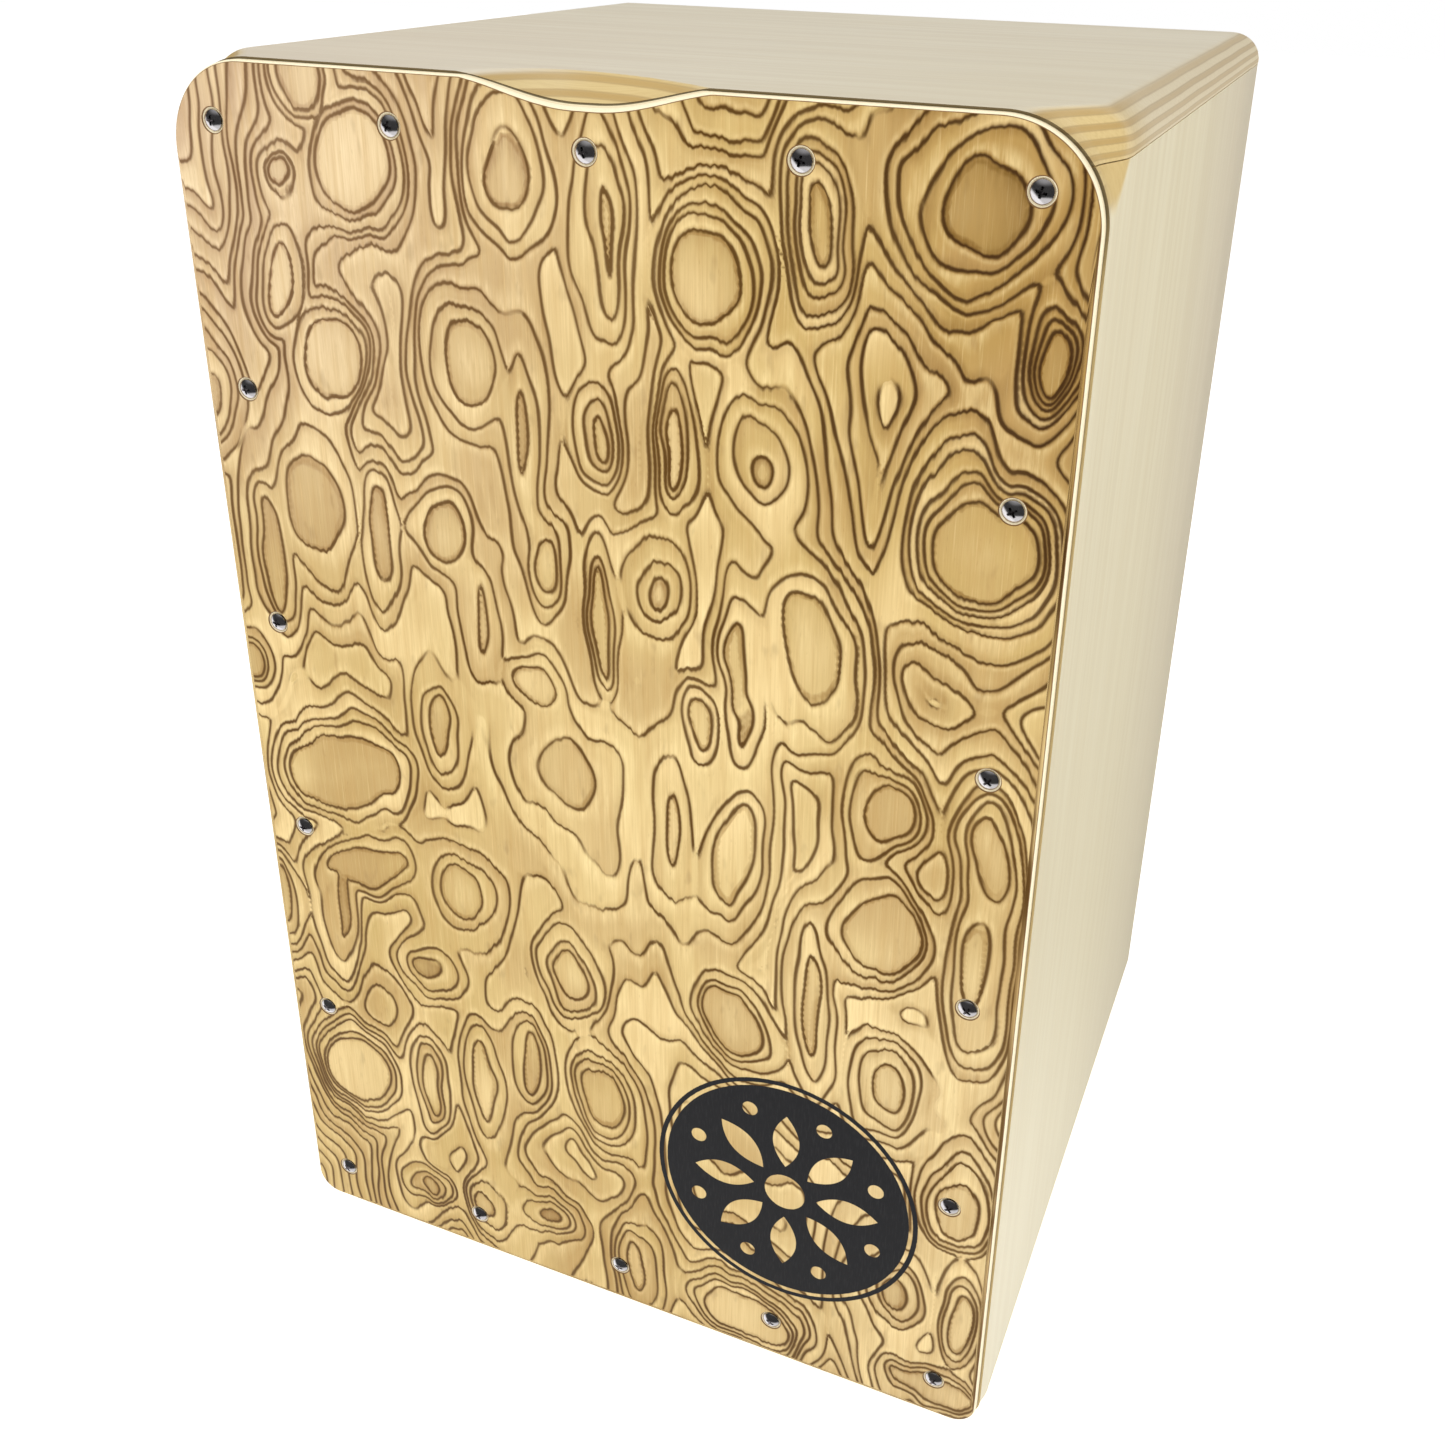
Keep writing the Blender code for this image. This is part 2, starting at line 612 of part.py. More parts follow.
def snare_string(name, low, high, yoke):
    """A string with a ferrule at each end, and its hole in the yoke."""
    along = high - low
    top, bottom = along.length + GAP, -GAP
    profile = [
        (0, top + FERRULE_H),
        (FERRULE_R, top + FERRULE_H),
        (FERRULE_R, top),
        (STRING_R, top),
        (STRING_R, bottom),
        (FERRULE_R, bottom),
        (FERRULE_R, bottom - FERRULE_H),
        (0, bottom - FERRULE_H),
    ]
    turn = along.normalized().to_track_quat("Z", "Y").to_matrix().to_4x4()
    place = Matrix.Translation(low) @ turn
    add("snare_string_" + name, turned_mesh("snare_string", profile, 10), STRING_STEEL, place)
    middle = place @ Matrix.Translation((0, 0, YOKE_H / 2))
    cut(yoke, rod_cutter("string_hole_" + name, STRING_HOLE_R, 30 * MM, segments=12, matrix=middle))


def string_slot(anchor, number, x):
    """An open slot in the bar's front face, with a pocket above for the ferrule."""
    for name, width, depth, low_z in (
        ("string_slot", SLOT_W, SLOT_D, ANCHOR_LOW - OVERCUT),
        ("ferrule_pocket", POCKET_W, POCKET_D, STRING_TOP_Z),
    ):
        low = (x - width / 2, FRONT - OVERCUT, low_z)
        high = (x + width / 2, FRONT + depth, ANCHOR_HIGH + OVERCUT)
        cut(anchor, box(f"{name}_{number}", low, high))


def anchor_and_strings(yokes, batten):
    low, high = (-ANCHOR_W / 2, FRONT, ANCHOR_LOW), (ANCHOR_W / 2, FRONT + ANCHOR_D, ANCHOR_HIGH)
    anchor = box("string_anchor_bar", low, high, ANCHOR_WOOD)
    screw_mesh = turned_mesh("anchor_screw", ANCHOR_SCREW_PROFILE, 14)
    places = []
    number = 0
    for hand, side in SIDES.items():
        for which, (direction, top_x) in STRINGS.items():
            low = Vector((side * (BOLT_X + direction * STRING_SPREAD), BOLT_Y, YOKE_LOW))
            high = Vector((side * top_x, STRING_TOP_Y, STRING_TOP_Z))
            snare_string(f"{hand}_{which}", low, high, yokes[hand])
            number += 1
            string_slot(anchor, number, side * top_x)
        place = Matrix.Translation((side * ANCHOR_SCREW_X, ANCHOR_SCREW_Y, ANCHOR_LOW))
        add("anchor_screw_" + hand, screw_mesh, STEEL, place)
        places.append(place)
    bores = copies("anchor_bores", turned_mesh("anchor_bore", ANCHOR_BORE_PROFILE, 14), places)
    cut(anchor, bores)
    cut(batten, bores)


# ---------------------------------------------------------------- assembly
reliefs = {hand: corner_relief(hand, side) for hand, side in SIDES.items()}
hollow = scoop_cutter()
screw_matrices = screw_places()
screw_bores = copies("tapa_screw_bores", turned_mesh("bore", SCREW_BORE_PROFILE, 12), screw_matrices)

for hand, side in SIDES.items():
    side_panel(hand, side, reliefs[hand])
top_panel([*reliefs.values(), hollow])
floor_panel = box("bottom_panel", (-INNER, FRONT, BASE), (INNER, BACK, FLOOR_TOP), SIDE_WOOD)
back_panel()
front_battens = battens("front", FRONT)
battens("back", BACK - BACK_T - GAP - BATTEN)
for batten in front_battens:
    cut(batten, screw_bores)

front_panel([hollow, screw_bores])
front_screws(screw_matrices)
feet(floor_panel)
anchor_and_strings(tuners(floor_panel), front_battens[0])
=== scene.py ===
"""Looks for a cajon, a box drum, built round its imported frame.

The playing face looks towards -Y, the seat is on top (+Z), and X runs across from left (-) to
right (+). Four rubber feet stand on the floor at z = 0. Each hand's snare strings hang on a yoke
and tuning bolt. Lengths are in metres, and shader graphs work in millimetres.
"""
import math
from functools import cached_property

import bmesh
import bpy
import numpy as np
from mathutils import Matrix, Vector
from mathutils.geometry import delaunay_2d_cdt


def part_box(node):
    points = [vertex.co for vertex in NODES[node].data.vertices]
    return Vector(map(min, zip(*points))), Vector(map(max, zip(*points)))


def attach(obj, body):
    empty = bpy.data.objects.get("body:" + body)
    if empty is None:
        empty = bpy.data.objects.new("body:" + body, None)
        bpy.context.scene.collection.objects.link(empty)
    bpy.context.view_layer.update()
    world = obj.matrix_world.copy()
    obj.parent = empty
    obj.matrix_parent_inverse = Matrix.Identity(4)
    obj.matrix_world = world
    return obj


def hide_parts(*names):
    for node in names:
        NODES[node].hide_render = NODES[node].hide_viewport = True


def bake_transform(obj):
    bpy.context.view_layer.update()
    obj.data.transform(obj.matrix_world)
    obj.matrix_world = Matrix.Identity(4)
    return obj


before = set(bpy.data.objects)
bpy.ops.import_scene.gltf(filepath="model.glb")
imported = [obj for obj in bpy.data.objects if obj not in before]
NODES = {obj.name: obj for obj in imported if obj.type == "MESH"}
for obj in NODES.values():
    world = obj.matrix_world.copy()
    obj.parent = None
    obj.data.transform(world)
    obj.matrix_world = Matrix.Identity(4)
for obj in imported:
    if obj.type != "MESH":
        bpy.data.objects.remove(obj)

MM = 0.001
scene = bpy.context.scene


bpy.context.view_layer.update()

# ------------------------------------------------------------------ driving dimensions
FACE_LOW, FACE_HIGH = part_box("front_panel")
SEAT_LOW, SEAT_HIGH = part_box("top_panel")
FACE_FRONT, FACE_BACK = FACE_LOW.y, FACE_HIGH.y
FACE_T = FACE_BACK - FACE_FRONT
FACE_W = FACE_HIGH.x - FACE_LOW.x
FACE_TOP = FACE_HIGH.z
FRONT, BACK = SEAT_LOW.y, SEAT_HIGH.y  # of the box behind the playing face
SEAT, BASE = SEAT_HIGH.z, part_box("bottom_panel")[0].z
HALF = SEAT_HIGH.x
SEAT_T = SEAT_HIGH.z - SEAT_LOW.z
UNDER = SEAT - SEAT_T

EDGE_R = 12 * MM  # seat's side and rear edges
FACE_R_TOP, FACE_R_BOTTOM = 29 * MM, 10 * MM
BODY_R_TOP = FACE_R_TOP + 0.7 * MM  # body's top corners at the very front
RELIEF_D = 26 * MM  # depth over which the corner radius falls to EDGE_R
FRONT_RUN = 27 * MM  # finely divided length behind the front edges
SIDE_EASE = 1.0 * MM  # rounding of the sides' rear edge
PORT_R, PORT_Z, PORT_EDGE_R = 57.5 * MM, BASE + 318 * MM, 1.4 * MM
PORT_STEPS = 144

# hand hollow in the front of the seat
SCOOP_FLAT, SCOOP_DEPTH = 3 * MM, 7.6 * MM
SCOOP_RUN = (48 * MM, 47 * MM)  # fall to the left and to the right of the flat
SCOOP_LEFT, SCOOP_RIGHT = -47 * MM, 39 * MM
SCOOP_MARGIN = 0.25 * MM

SINK_R, BORE_R, HOLE_STEPS = 4.2 * MM, 2.05 * MM, 28  # screw holes in the playing face
FACE_GRID = 1.32 * MM  # spacing of the playing face's inner points
BOLT_HOLE_R = 3.35 * MM


# ------------------------------------------------------------------ shader graphs
def srgb(*channels):
    """0-255 display colour to the linear colour shaders use."""
    out = []
    for c in channels:
        c /= 255.0
        out.append(c / 12.92 if c <= 0.04045 else ((c + 0.055) / 1.055) ** 2.4)
    return (*out, 1.0)


class Value:
    """An output socket. Arithmetic on it adds math nodes to its graph."""

    def __init__(self, graph, socket):
        self.graph, self.socket = graph, socket

    def __add__(self, other):
        return self.graph.math("ADD", self, other)

    def __sub__(self, other):
        return self.graph.math("SUBTRACT", self, other)

    def __rsub__(self, other):
        return self.graph.math("SUBTRACT", other, self)

    def __mul__(self, other):
        return self.graph.math("MULTIPLY", self, other)

    def __truediv__(self, other):
        return self.graph.math("DIVIDE", self, other)

    def __rtruediv__(self, other):
        return self.graph.math("DIVIDE", other, self)

    def __mod__(self, other):
        return self.graph.math("MODULO", self, other)

    def __abs__(self):
        return self.graph.math("ABSOLUTE", self)

    def max(self, other):
        return self.graph.math("MAXIMUM", self, other)

    def min(self, other):
        return self.graph.math("MINIMUM", self, other)

    def clamped(self, other):
        """Product with other, held between 0 and 1."""
        return self.graph.math("MULTIPLY", self, other, use_clamp=True)

    def line(self, low, high, start=0.0, end=1.0):
        """Straight ramp: start where the value is low, end where it is high."""
        return self.graph.make("ShaderNodeMapRange", (self, low, high, start, end))

    def step(self, low, high, start=0.0, end=1.0):
        """The same ramp with smooth ends."""
        inputs = (self, low, high, start, end)
        return self.graph.make("ShaderNodeMapRange", inputs, interpolation_type="SMOOTHSTEP")

    def lerp(self, start, end):
        """Number between start and end, by this share."""
        return self.graph.make("ShaderNodeMix", {0: self, 2: start, 3: end}, data_type="FLOAT")

    def tint(self, amount, paint):
        """This colour with an amount of paint mixed in."""
        return self.graph.mix(amount, self, paint)

    def ramp(self, stops):
        """Colour ramp through (position, colour) stops."""
        node = self.graph.new("ShaderNodeValToRGB")
        elements = node.color_ramp.elements
        while len(elements) < len(stops):
            elements.new(1.0)
        for element, (at, colour) in zip(elements, stops):
            element.position = at
            element.color = colour
        self.graph.put(node.inputs[0], self)
        return Value(self.graph, node.outputs[0])


class Graph:
    """Helpers that add nodes to an emptied node tree."""

    def __init__(self, tree):
        self.tree = tree
        tree.nodes.clear()

    def new(self, kind, **props):
        node = self.tree.nodes.new(kind)
        for key, value in props.items():
            setattr(node, key, value)
        return node

    def put(self, socket, value):
        if isinstance(value, Value):
            self.tree.links.new(value.socket, socket)
        else:
            socket.default_value = value

    def make(self, kind, inputs=(), output=0, **props):
        """Output of a new node; inputs are in socket order, or a dict by socket key."""
        node = self.new(kind, **props)
        if not isinstance(inputs, dict):
            inputs = dict(enumerate(inputs))
        for key, value in inputs.items():
            self.put(node.inputs[key], value)
        return Value(self, node.outputs[output])

    def math(self, op, *values, **props):
        return self.make("ShaderNodeMath", values, operation=op, **props)

    def vec(self, op, *values, output=0):
        return self.make("ShaderNodeVectorMath", values, output, operation=op)

    def hypot(self, across, along):
        return self.math("SQRT", across * across + along * along)

    def mix(self, amount, first, second):
        inputs = {0: amount, 6: first, 7: second}
        return self.make("ShaderNodeMix", inputs, output=2, data_type="RGBA")

    def split(self, vector):
        node = self.new("ShaderNodeSeparateXYZ")
        self.put(node.inputs[0], vector)
        return [Value(self, socket) for socket in node.outputs]


class Material(Graph):
    """A material with one principled shader, and coordinates in mm."""

    def __init__(self, name):
        self.mat = bpy.data.materials.new(name)
        self.mat.use_nodes = True
        super().__init__(self.mat.node_tree)
        self.shader = self.new("ShaderNodeBsdfPrincipled")
        self.tree.links.new(self.shader.outputs[0], self.new("ShaderNodeOutputMaterial").inputs[0])

    @cached_property
    def mm(self):
        coords = self.make("ShaderNodeTexCoord", output="Object")
        return self.vec("MULTIPLY", coords, (1000.0, 1000.0, 1000.0))

    @cached_property
    def place(self):
        """x, y and z in mm."""
        return self.split(self.mm)

    @cached_property
    def normal(self):
        return self.split(self.make("ShaderNodeNewGeometry", output="True Normal"))

    def set(self, **values):
        for key, value in values.items():
            self.put(self.shader.inputs[key.replace("_", " ")], value)

    def noise(self, cell, detail=2.0, rough=0.5, shift=(0.0, 0.0, 0.0), vector=None):
        """Noise, about 0.2 to 0.8, with cells of one size or of (x, y, z) sizes in mm."""
        sizes = cell if isinstance(cell, tuple) else (cell,) * 3
        base = self.mm if vector is None else vector
        scaled = self.vec("MULTIPLY_ADD", base, tuple(1.0 / s for s in sizes), shift)
        inputs = {"Vector": scaled, "Scale": 1.0, "Detail": detail, "Roughness": rough}
        return self.make("ShaderNodeTexNoise", inputs)

    def bump(self, height, strength, mm):
        inputs = {"Strength": strength, "Distance": mm * MM, "Height": height}
        return self.make("ShaderNodeBump", inputs)

    def attribute(self, name):
        return self.make("ShaderNodeAttribute", output="Fac", attribute_name=name)


# ------------------------------------------------------------------ plywood
# Ply stacks from the outer face in: (thickness in mm, tone), where tone is 1 for a ply seen along
# its grain and 0 for one seen on its end grain.
SEAT_STACK = [
    (0.7, 0.9), (1.3, 0.1), (2.0, 1.0), (1.3, 0.0), (2.0, 0.95),
    (1.3, 0.05), (1.9, 0.9), (1.1, 0.1), (0.9, 0.9),
]
PANEL_STACK = [
    (0.7, 1.0), (1.9, 0.15), (1.7, 0.9), (1.9, 0.1), (1.7, 0.9),
    (1.9, 0.15), (1.7, 0.9), (0.8, 0.2), (0.7, 1.0),
]
THIN_STACK = [(0.7, 1.0), (1.2, 0.1), (1.2, 0.85), (1.2, 0.1), (0.7, 1.0)]
PLY_BLEND = 0.34  # mm over which one ply fades into the next
GLUE_BEFORE, GLUE_AFTER = 0.30, 0.24  # mm of glue line on either side of a joint
BLACK, WHITE = (0, 0, 0, 1), (1, 1, 1, 1)
GOLD_LIGHT, GOLD_DARK = srgb(226, 201, 142), srgb(198, 166, 104)


def ply_tone(depth, stack):
    """(tone, glue line) of a ply stack at a depth in mm."""
    total = sum(thick for thick, _ in stack)
    tones, glue, at = [], [(0.0, BLACK)], 0.0
    for number, (thick, tone) in enumerate(stack):
        grey = (tone, tone, tone, 1.0)
        start = at + PLY_BLEND if number else 0.0
        tones += [(start / total, grey), ((at + thick - PLY_BLEND) / total, grey)]
        if number:
            before, after = (at - GLUE_BEFORE) / total, (at + GLUE_AFTER) / total
            glue += [(before, BLACK), (at / total, WHITE), (after, BLACK)]
        at += thick
    share = depth / total
    return share.ramp(tones), share.ramp(glue)


def along(grain, length, width):
    """Noise cell drawn out along the grain, x or z."""
    return (length, width, width) if grain == "x" else (width, width, length)


def ply_wood(name, axis, outer, inwards, stack, pale, deep, grain, rough=0.42, tint=None):
    """Lacquered plywood: a streaked veneer on the broad faces and the stack's plies where it is cut.

    axis and outer say where the outer face lies, inwards which way depth grows from it, and pale
    and deep are the veneer's colours.
    """
    graph = Material(name)
    _, y, z = graph.place
    number = "xyz".index(axis)
    place = abs(graph.place[number]) if axis == "x" else graph.place[number]
    depth = (place - outer / MM) * inwards
    wave = (graph.noise(26) - 0.5) * 0.35
    tone, glue = ply_tone(depth + wave, stack)

    # streaked veneer
    long, middle, short = (150, 34, 12) if grain == "x" else (170, 38, 14)
    broad = graph.noise(along(grain, long, 5.5), detail=3, rough=0.55)
    streak = graph.noise(along(grain, middle, 0.9), rough=0.6, shift=(3, 7, 1))
    fibre = graph.noise(along(grain, short, 0.28), detail=1, shift=(11, 2, 5))
    face = (
        graph.mix(broad.step(0.3, 0.7), pale, deep)
        .tint(streak.step(0.36, 0.7, 0.0, 0.22), graph.mix(0.40, deep, GOLD_LIGHT))
        .tint(fibre.step(0.55, 0.8, 0.0, 0.08), GOLD_DARK)
    )
    if tint is not None:
        face = tint(graph, face)

    # how far the surface turns away from the flat face, and how far it faces the player
    flatness = abs(graph.normal[number]).step(0.88, 0.997)
    thin_skin = depth.step(0.15, 1.3, 1.0, 0.0)
    turn = (0.035, 0.16) if axis == "x" else (0.02, 0.34)
    facing = (graph.normal[1] * -1.0).step(*turn)

    # cut plies, more golden towards the player: partly the cut wood's own colour, and partly painted
    # light, the paler tone of cuts turned up or sideways being a painted reflection of the sky in the
    # lacquer
    golden = facing.max(y.step(FRONT / MM + 60, FRONT / MM, 0.0, 0.9))
    end_grain = graph.noise(0.55, rough=0.6)
    light = graph.mix(golden, graph.mix(0.35, pale, GOLD_LIGHT), GOLD_LIGHT)
    dark = graph.mix(golden, graph.mix(0.55, deep, GOLD_DARK), GOLD_DARK)
    brown = graph.mix(0.35, GOLD_DARK, srgb(140, 104, 60))
    dark = dark.tint(end_grain.step(0.45, 0.75, 0.0, 0.16), brown)
    light = light.tint(streak.step(0.35, 0.7, 0.0, 0.25), dark)
    if axis == "x":  # the sides' shaped corners show hardly any plies
        tone = facing.lerp(tone, 0.35)
        glue = glue * facing.line(0, 1, 1.0, 0.0)
        dark = dark.tint(0.6, light)
    cut = graph.mix(tone, dark, light).tint(glue * 0.30, srgb(140, 110, 70))
    colour = cut.tint(flatness.clamped(thin_skin).clamped(1.0 - facing), face)

    # painted shadow: the front edges are darkened near the top, where the playing face beds on them and
    # the gap between them lies in shade
    painted_gap_shadow = y.step(FRONT / MM + 0.45, FRONT / MM + 0.15) * graph.normal[1].step(-0.7, -0.9)
    painted_gap_shadow = painted_gap_shadow * z.step(SEAT / MM - 50, SEAT / MM - 18, 0.0, 0.70)
    graph.set(
        Base_Color=colour.tint(painted_gap_shadow, srgb(48, 34, 18)),
        Roughness=streak.lerp(rough - 0.05, rough + 0.08),
        Coat_Weight=0.22,
        Coat_Roughness=0.28,
        Normal=graph.bump(fibre * 0.6 + streak * 0.4, strength=0.10, mm=0.06),
    )
    return graph.mat


def seat_tint(graph, face):
    """The seat is a little pinker towards the left front and greener towards the right front."""
    x, y, _ = graph.place
    left = x.step(60, -150) * y.step(120, -150)
    right = x.step(-20, 130) * y.step(150, -150)
    return face.tint(left * 0.35, srgb(230, 214, 196)).tint(right * 0.40, srgb(228, 217, 188))


def side_tint(graph, face):
    """The sides are greyer behind and a little warmer low down."""
    _, y, z = graph.place
    behind, low = y.step(-40, 150), z.step(420, 60)
    return face.tint(behind * 0.55, srgb(215, 203, 184)).tint(low * 0.35, srgb(236, 226, 192))


SEAT_WOOD = ply_wood(
    "seat_plywood", axis="z", outer=SEAT, inwards=-1.0, stack=SEAT_STACK,
    pale=srgb(240, 233, 214), deep=srgb(232, 223, 203), grain="x", tint=seat_tint,
)
SIDE_WOOD = ply_wood(
    "side_plywood", axis="x", outer=HALF, inwards=-1.0, stack=PANEL_STACK,
    pale=srgb(238, 229, 200), deep=srgb(230, 219, 188), grain="z", tint=side_tint,
)
FLOOR_WOOD = ply_wood(
    "floor_plywood", axis="z", outer=BASE, inwards=1.0, stack=PANEL_STACK,
    pale=srgb(226, 214, 184), deep=srgb(214, 199, 164), grain="x", rough=0.5,
)
BACK_WOOD = ply_wood(
    "back_plywood", axis="y", outer=BACK, inwards=-1.0, stack=THIN_STACK,
    pale=srgb(229, 219, 190), deep=srgb(219, 206, 174), grain="z", rough=0.45,
)


# ------------------------------------------------------------------ solid timber
RING_SPACING = 2.6  # mm between growth rings


def bar_wood(name, light, dark, pore, grain, rough=0.6):
    """A planed bar: growth rings stretched along its length, with fine fibre and pores."""
    graph = Material(name)
    x, y, z = graph.place
    wander = graph.noise(along(grain, 90, 9))
    across = y * 0.9 + wander * 16.0 + (z if grain == "x" else x) * 0.55
    rings = graph.math("FRACT", across / RING_SPACING)
    late = rings.step(0.45, 0.95) * rings.step(1.0, 0.96)
    fibre = graph.noise(along(grain, 22, 0.8), rough=0.6)
    pores = graph.noise(along(grain, 5, 0.35), detail=1).step(0.62, 0.75)
    colour = (
        graph.mix(late * 0.7, light, dark)
        .tint(fibre.step(0.35, 0.7, 0.0, 0.35), dark)
        .tint(pores * 0.35, pore)
    )
    graph.set(
        Base_Color=colour,
        Roughness=fibre.lerp(rough - 0.06, rough + 0.1),
        Normal=graph.bump(fibre - pores * 0.5, strength=0.25, mm=0.12),
    )
    return graph.mat


PINE = {"light": srgb(232, 203, 150), "dark": srgb(200, 152, 92), "pore": srgb(150, 105, 58)}
PINE_ACROSS = bar_wood("batten_pine_across", **PINE, grain="x")
PINE_UPRIGHT = bar_wood("batten_pine_upright", **PINE, grain="z")
BEECH = bar_wood(
    "anchor_beech", light=srgb(205, 158, 112), dark=srgb(176, 124, 80), pore=srgb(118, 74, 44),
    grain="x", rough=0.5,
)


# ------------------------------------------------------------------ metals and rubber
def metal(name, colour, dull, rough, spread, grain):
    """Plated metal with slight blotches, dulled patches and fine scratches of the grain's size."""
    graph = Material(name)
    blotch = graph.noise(6, detail=3, rough=0.6)
    scratch = graph.noise(grain, rough=0.7, shift=(5, 1, 9))
    graph.set(
        Base_Color=graph.mix(blotch.step(0.35, 0.7), (*colour, 1), (*dull, 1)),
        Metallic=1.0,
        Roughness=scratch.line(0.2, 0.8, rough, rough + spread) + blotch * (spread * 0.5),
        Normal=graph.bump(scratch, strength=0.08, mm=0.02),
    )
    return graph.mat


CHROME = metal(
    "screw_chrome", colour=(0.80, 0.77, 0.78), dull=(0.70, 0.67, 0.68),
    rough=0.10, spread=0.08, grain=0.5,
)
ZINC = metal(
    "zinc_plate", colour=(0.58, 0.60, 0.63), dull=(0.47, 0.48, 0.49),
    rough=0.26, spread=0.18, grain=(0.4, 0.4, 1.6),
)
WIRE = metal(
    "drawn_wire", colour=(0.66, 0.65, 0.62), dull=(0.50, 0.48, 0.45),
    rough=0.22, spread=0.12, grain=(0.3, 0.3, 6.0),
)
BRASS = metal(
    "turned_brass", colour=(0.80, 0.58, 0.24), dull=(0.60, 0.42, 0.16),
    rough=0.20, spread=0.15, grain=(2.0, 2.0, 0.15),
)


def rubber():
    """Black rubber with a grey bloom, scuffed near the floor."""
    graph = Material("foot_rubber")
    grit = graph.noise(0.35, rough=0.6)
    bloom = graph.noise((9, 9, 4), detail=3, rough=0.6)
    scuffs = graph.place[2].step(2.2, 0.0) * graph.noise((3, 3, 1.2)).step(0.5, 0.7)
    colour = graph.mix(bloom.step(0.4, 0.75, 0.0, 0.5), srgb(26, 26, 27), srgb(46, 45, 45))
    graph.set(
        Base_Color=colour.tint(scuffs * 0.5, srgb(92, 88, 82)),
        Roughness=grit.lerp(0.62, 0.86),
        Normal=graph.bump(grit, strength=0.35, mm=0.08),
    )
    return graph.mat


RUBBER = rubber()

# ------------------------------------------------------------------ the veneer's figure
# Eyes of the figure, in mm from the playing face's top left corner: across, down, core half width
# and half height, outermost ring half width and half height, rings, tilt in degrees, core darkness.
EYES = [
    (42.3, 32.7, 4.5, 4, 7, 7, 1, 0, 0.55), (70, 29.3, 13, 15.5, 22, 26, 3, 0, 0.05),
    (124.3, 26.7, 8, 10, 22, 27, 4, 0, 0.55), (187.7, 50, 11.5, 14, 23, 32, 5, 0, 0.25),
    (223.5, 34, 3.5, 12, 9, 24, 3, -6, 0.1), (270, 25, 11, 11, 29, 30, 4, 0, 0.55),
    (291, 62, 4.5, 8, 9, 14, 2, 10, 0.2), (55, 92, 11.5, 15, 18, 24, 3, 25, 0.1),
    (35.7, 66.7, 5, 12, 11, 22, 3, 15, 0.1), (106.7, 86.7, 9.5, 13, 16, 21, 2, 0, 0.05),
    (151.7, 103, 2.2, 7.5, 18, 30, 6, 0, 0.15), (208.3, 105, 3, 5, 18, 24, 3, 0, 0.35),
    (275.7, 121.7, 15, 16, 24, 27, 3, 0, 0.05), (1, 111, 5, 7, 14, 18, 3, 0, 0.2),
    (40, 145, 11, 16, 19, 28, 2, 0, 0.15), (91.7, 146.7, 8, 12, 22, 34, 5, 0, 0.25),
    (173.3, 153.3, 2.5, 3.5, 12, 16, 2, 0, 0.4), (223.3, 163, 9, 20, 20, 40, 4, -4, 0.15),
    (186.7, 198, 4.2, 10, 15, 30, 4, 0, 0.05), (123.3, 196, 8.5, 7, 14, 13, 2, 0, 0.15),
    (41, 252, 27, 14, 36, 27, 3, -20, 0.05), (137, 230, 13, 13, 22, 24, 1, -30, 0.1),
    (253.3, 263.3, 12.5, 15, 22, 30, 3, 0, 0.05), (88.3, 291.7, 10, 12, 20, 22, 2, 0, 0.1),
    (45, 293, 20, 8, 27, 15, 2, -25, 0.1), (199, 246, 6, 18, 12, 30, 2, 8, 0),
    (134, 318, 6.5, 9.5, 20, 32, 4, 0, 0.15), (200, 317, 10, 15, 26, 36, 6, -20, 0.1),
    (258.3, 326.7, 7, 11, 17, 28, 3, 0, 0.1), (70, 335, 5.5, 4.2, 27, 24, 4, 0, 0.5),
    (2, 318, 5, 11, 15, 24, 4, 0, 0.5), (146, 372, 8.5, 13, 17, 28, 3, -15, 0.05),
    (29, 400, 15, 16, 28, 32, 5, 8, 0.05), (118.3, 445, 5, 3.5, 20, 16, 3, 0, 0.5),
    (60, 450, 4, 5, 16, 14, 3, 0, 0.5), (87.7, 450, 4, 6, 11, 16, 3, 0, 0.4),
    (266.7, 423.3, 4.5, 6.5, 13, 17, 2, 0, 0.4), (287, 372, 8, 13, 16, 22, 3, 0, 0.1),
    (205, 461, 18, 10, 30, 22, 4, 0, 0.1), (283, 464, 16, 6, 22, 14, 2, 0, 0.5),
    (91, 383, 4.5, 20, 11, 30, 2, 0, 0.05), (285, 222, 5, 16, 13, 30, 3, -12, 0.05),
    (252, 218, 8, 10, 14, 18, 2, 0, 0.05), (20, 170, 4, 22, 10, 32, 2, 0, 0.25),
    (3, 215, 4, 6, 10, 12, 2, 0, 0.6), (52, 4, 8, 9, 17, 18, 3, 0, 0.2),
    (230, 300, 4, 22, 9, 36, 2, 0, 0.05), (131.7, 152, 4, 11, 9, 22, 2, 0, 0.05),
    (152, 168, 2.5, 18, 7, 28, 2, 0, 0.1), (178, 104, 2.5, 14, 6, 24, 2, 0, 0.3),
    (125, 106, 2, 14, 5, 24, 1, 0, 0.2), (198.5, 172, 2.5, 16, 6, 26, 1, 0, 0.1),
    (202, 196, 1.8, 9, 4.5, 16, 1, 0, 0.5), (157, 38, 2, 14, 5.5, 24, 1, 0, 0.05),
    (68, 152, 4, 18, 9, 30, 2, 3, 0.2), (285, 268, 4.5, 16, 10, 28, 2, 0, 0.1),
    (113, 367, 4.5, 16, 11, 28, 2, 5, 0.1), (65, 397, 3.5, 16, 13, 30, 3, 0, 0.1),
    (291.7, 427, 4.5, 16, 10, 26, 2, 0, 0.1), (158, 457, 3.5, 14, 10, 26, 2, 0, 0.1),
    (32.7, 318, 2.8, 13, 9, 24, 2, 6, 0.3), (176.7, 243, 3.5, 14, 8, 26, 1, 0, 0.1),
    (104, 176, 2.5, 12, 7, 22, 1, 0, 0.2), (86, 222, 4, 14, 10, 24, 2, 0, 0.15),
]
EYE_BLEND = 1.7  # sharpness with which neighbouring eyes' rings merge


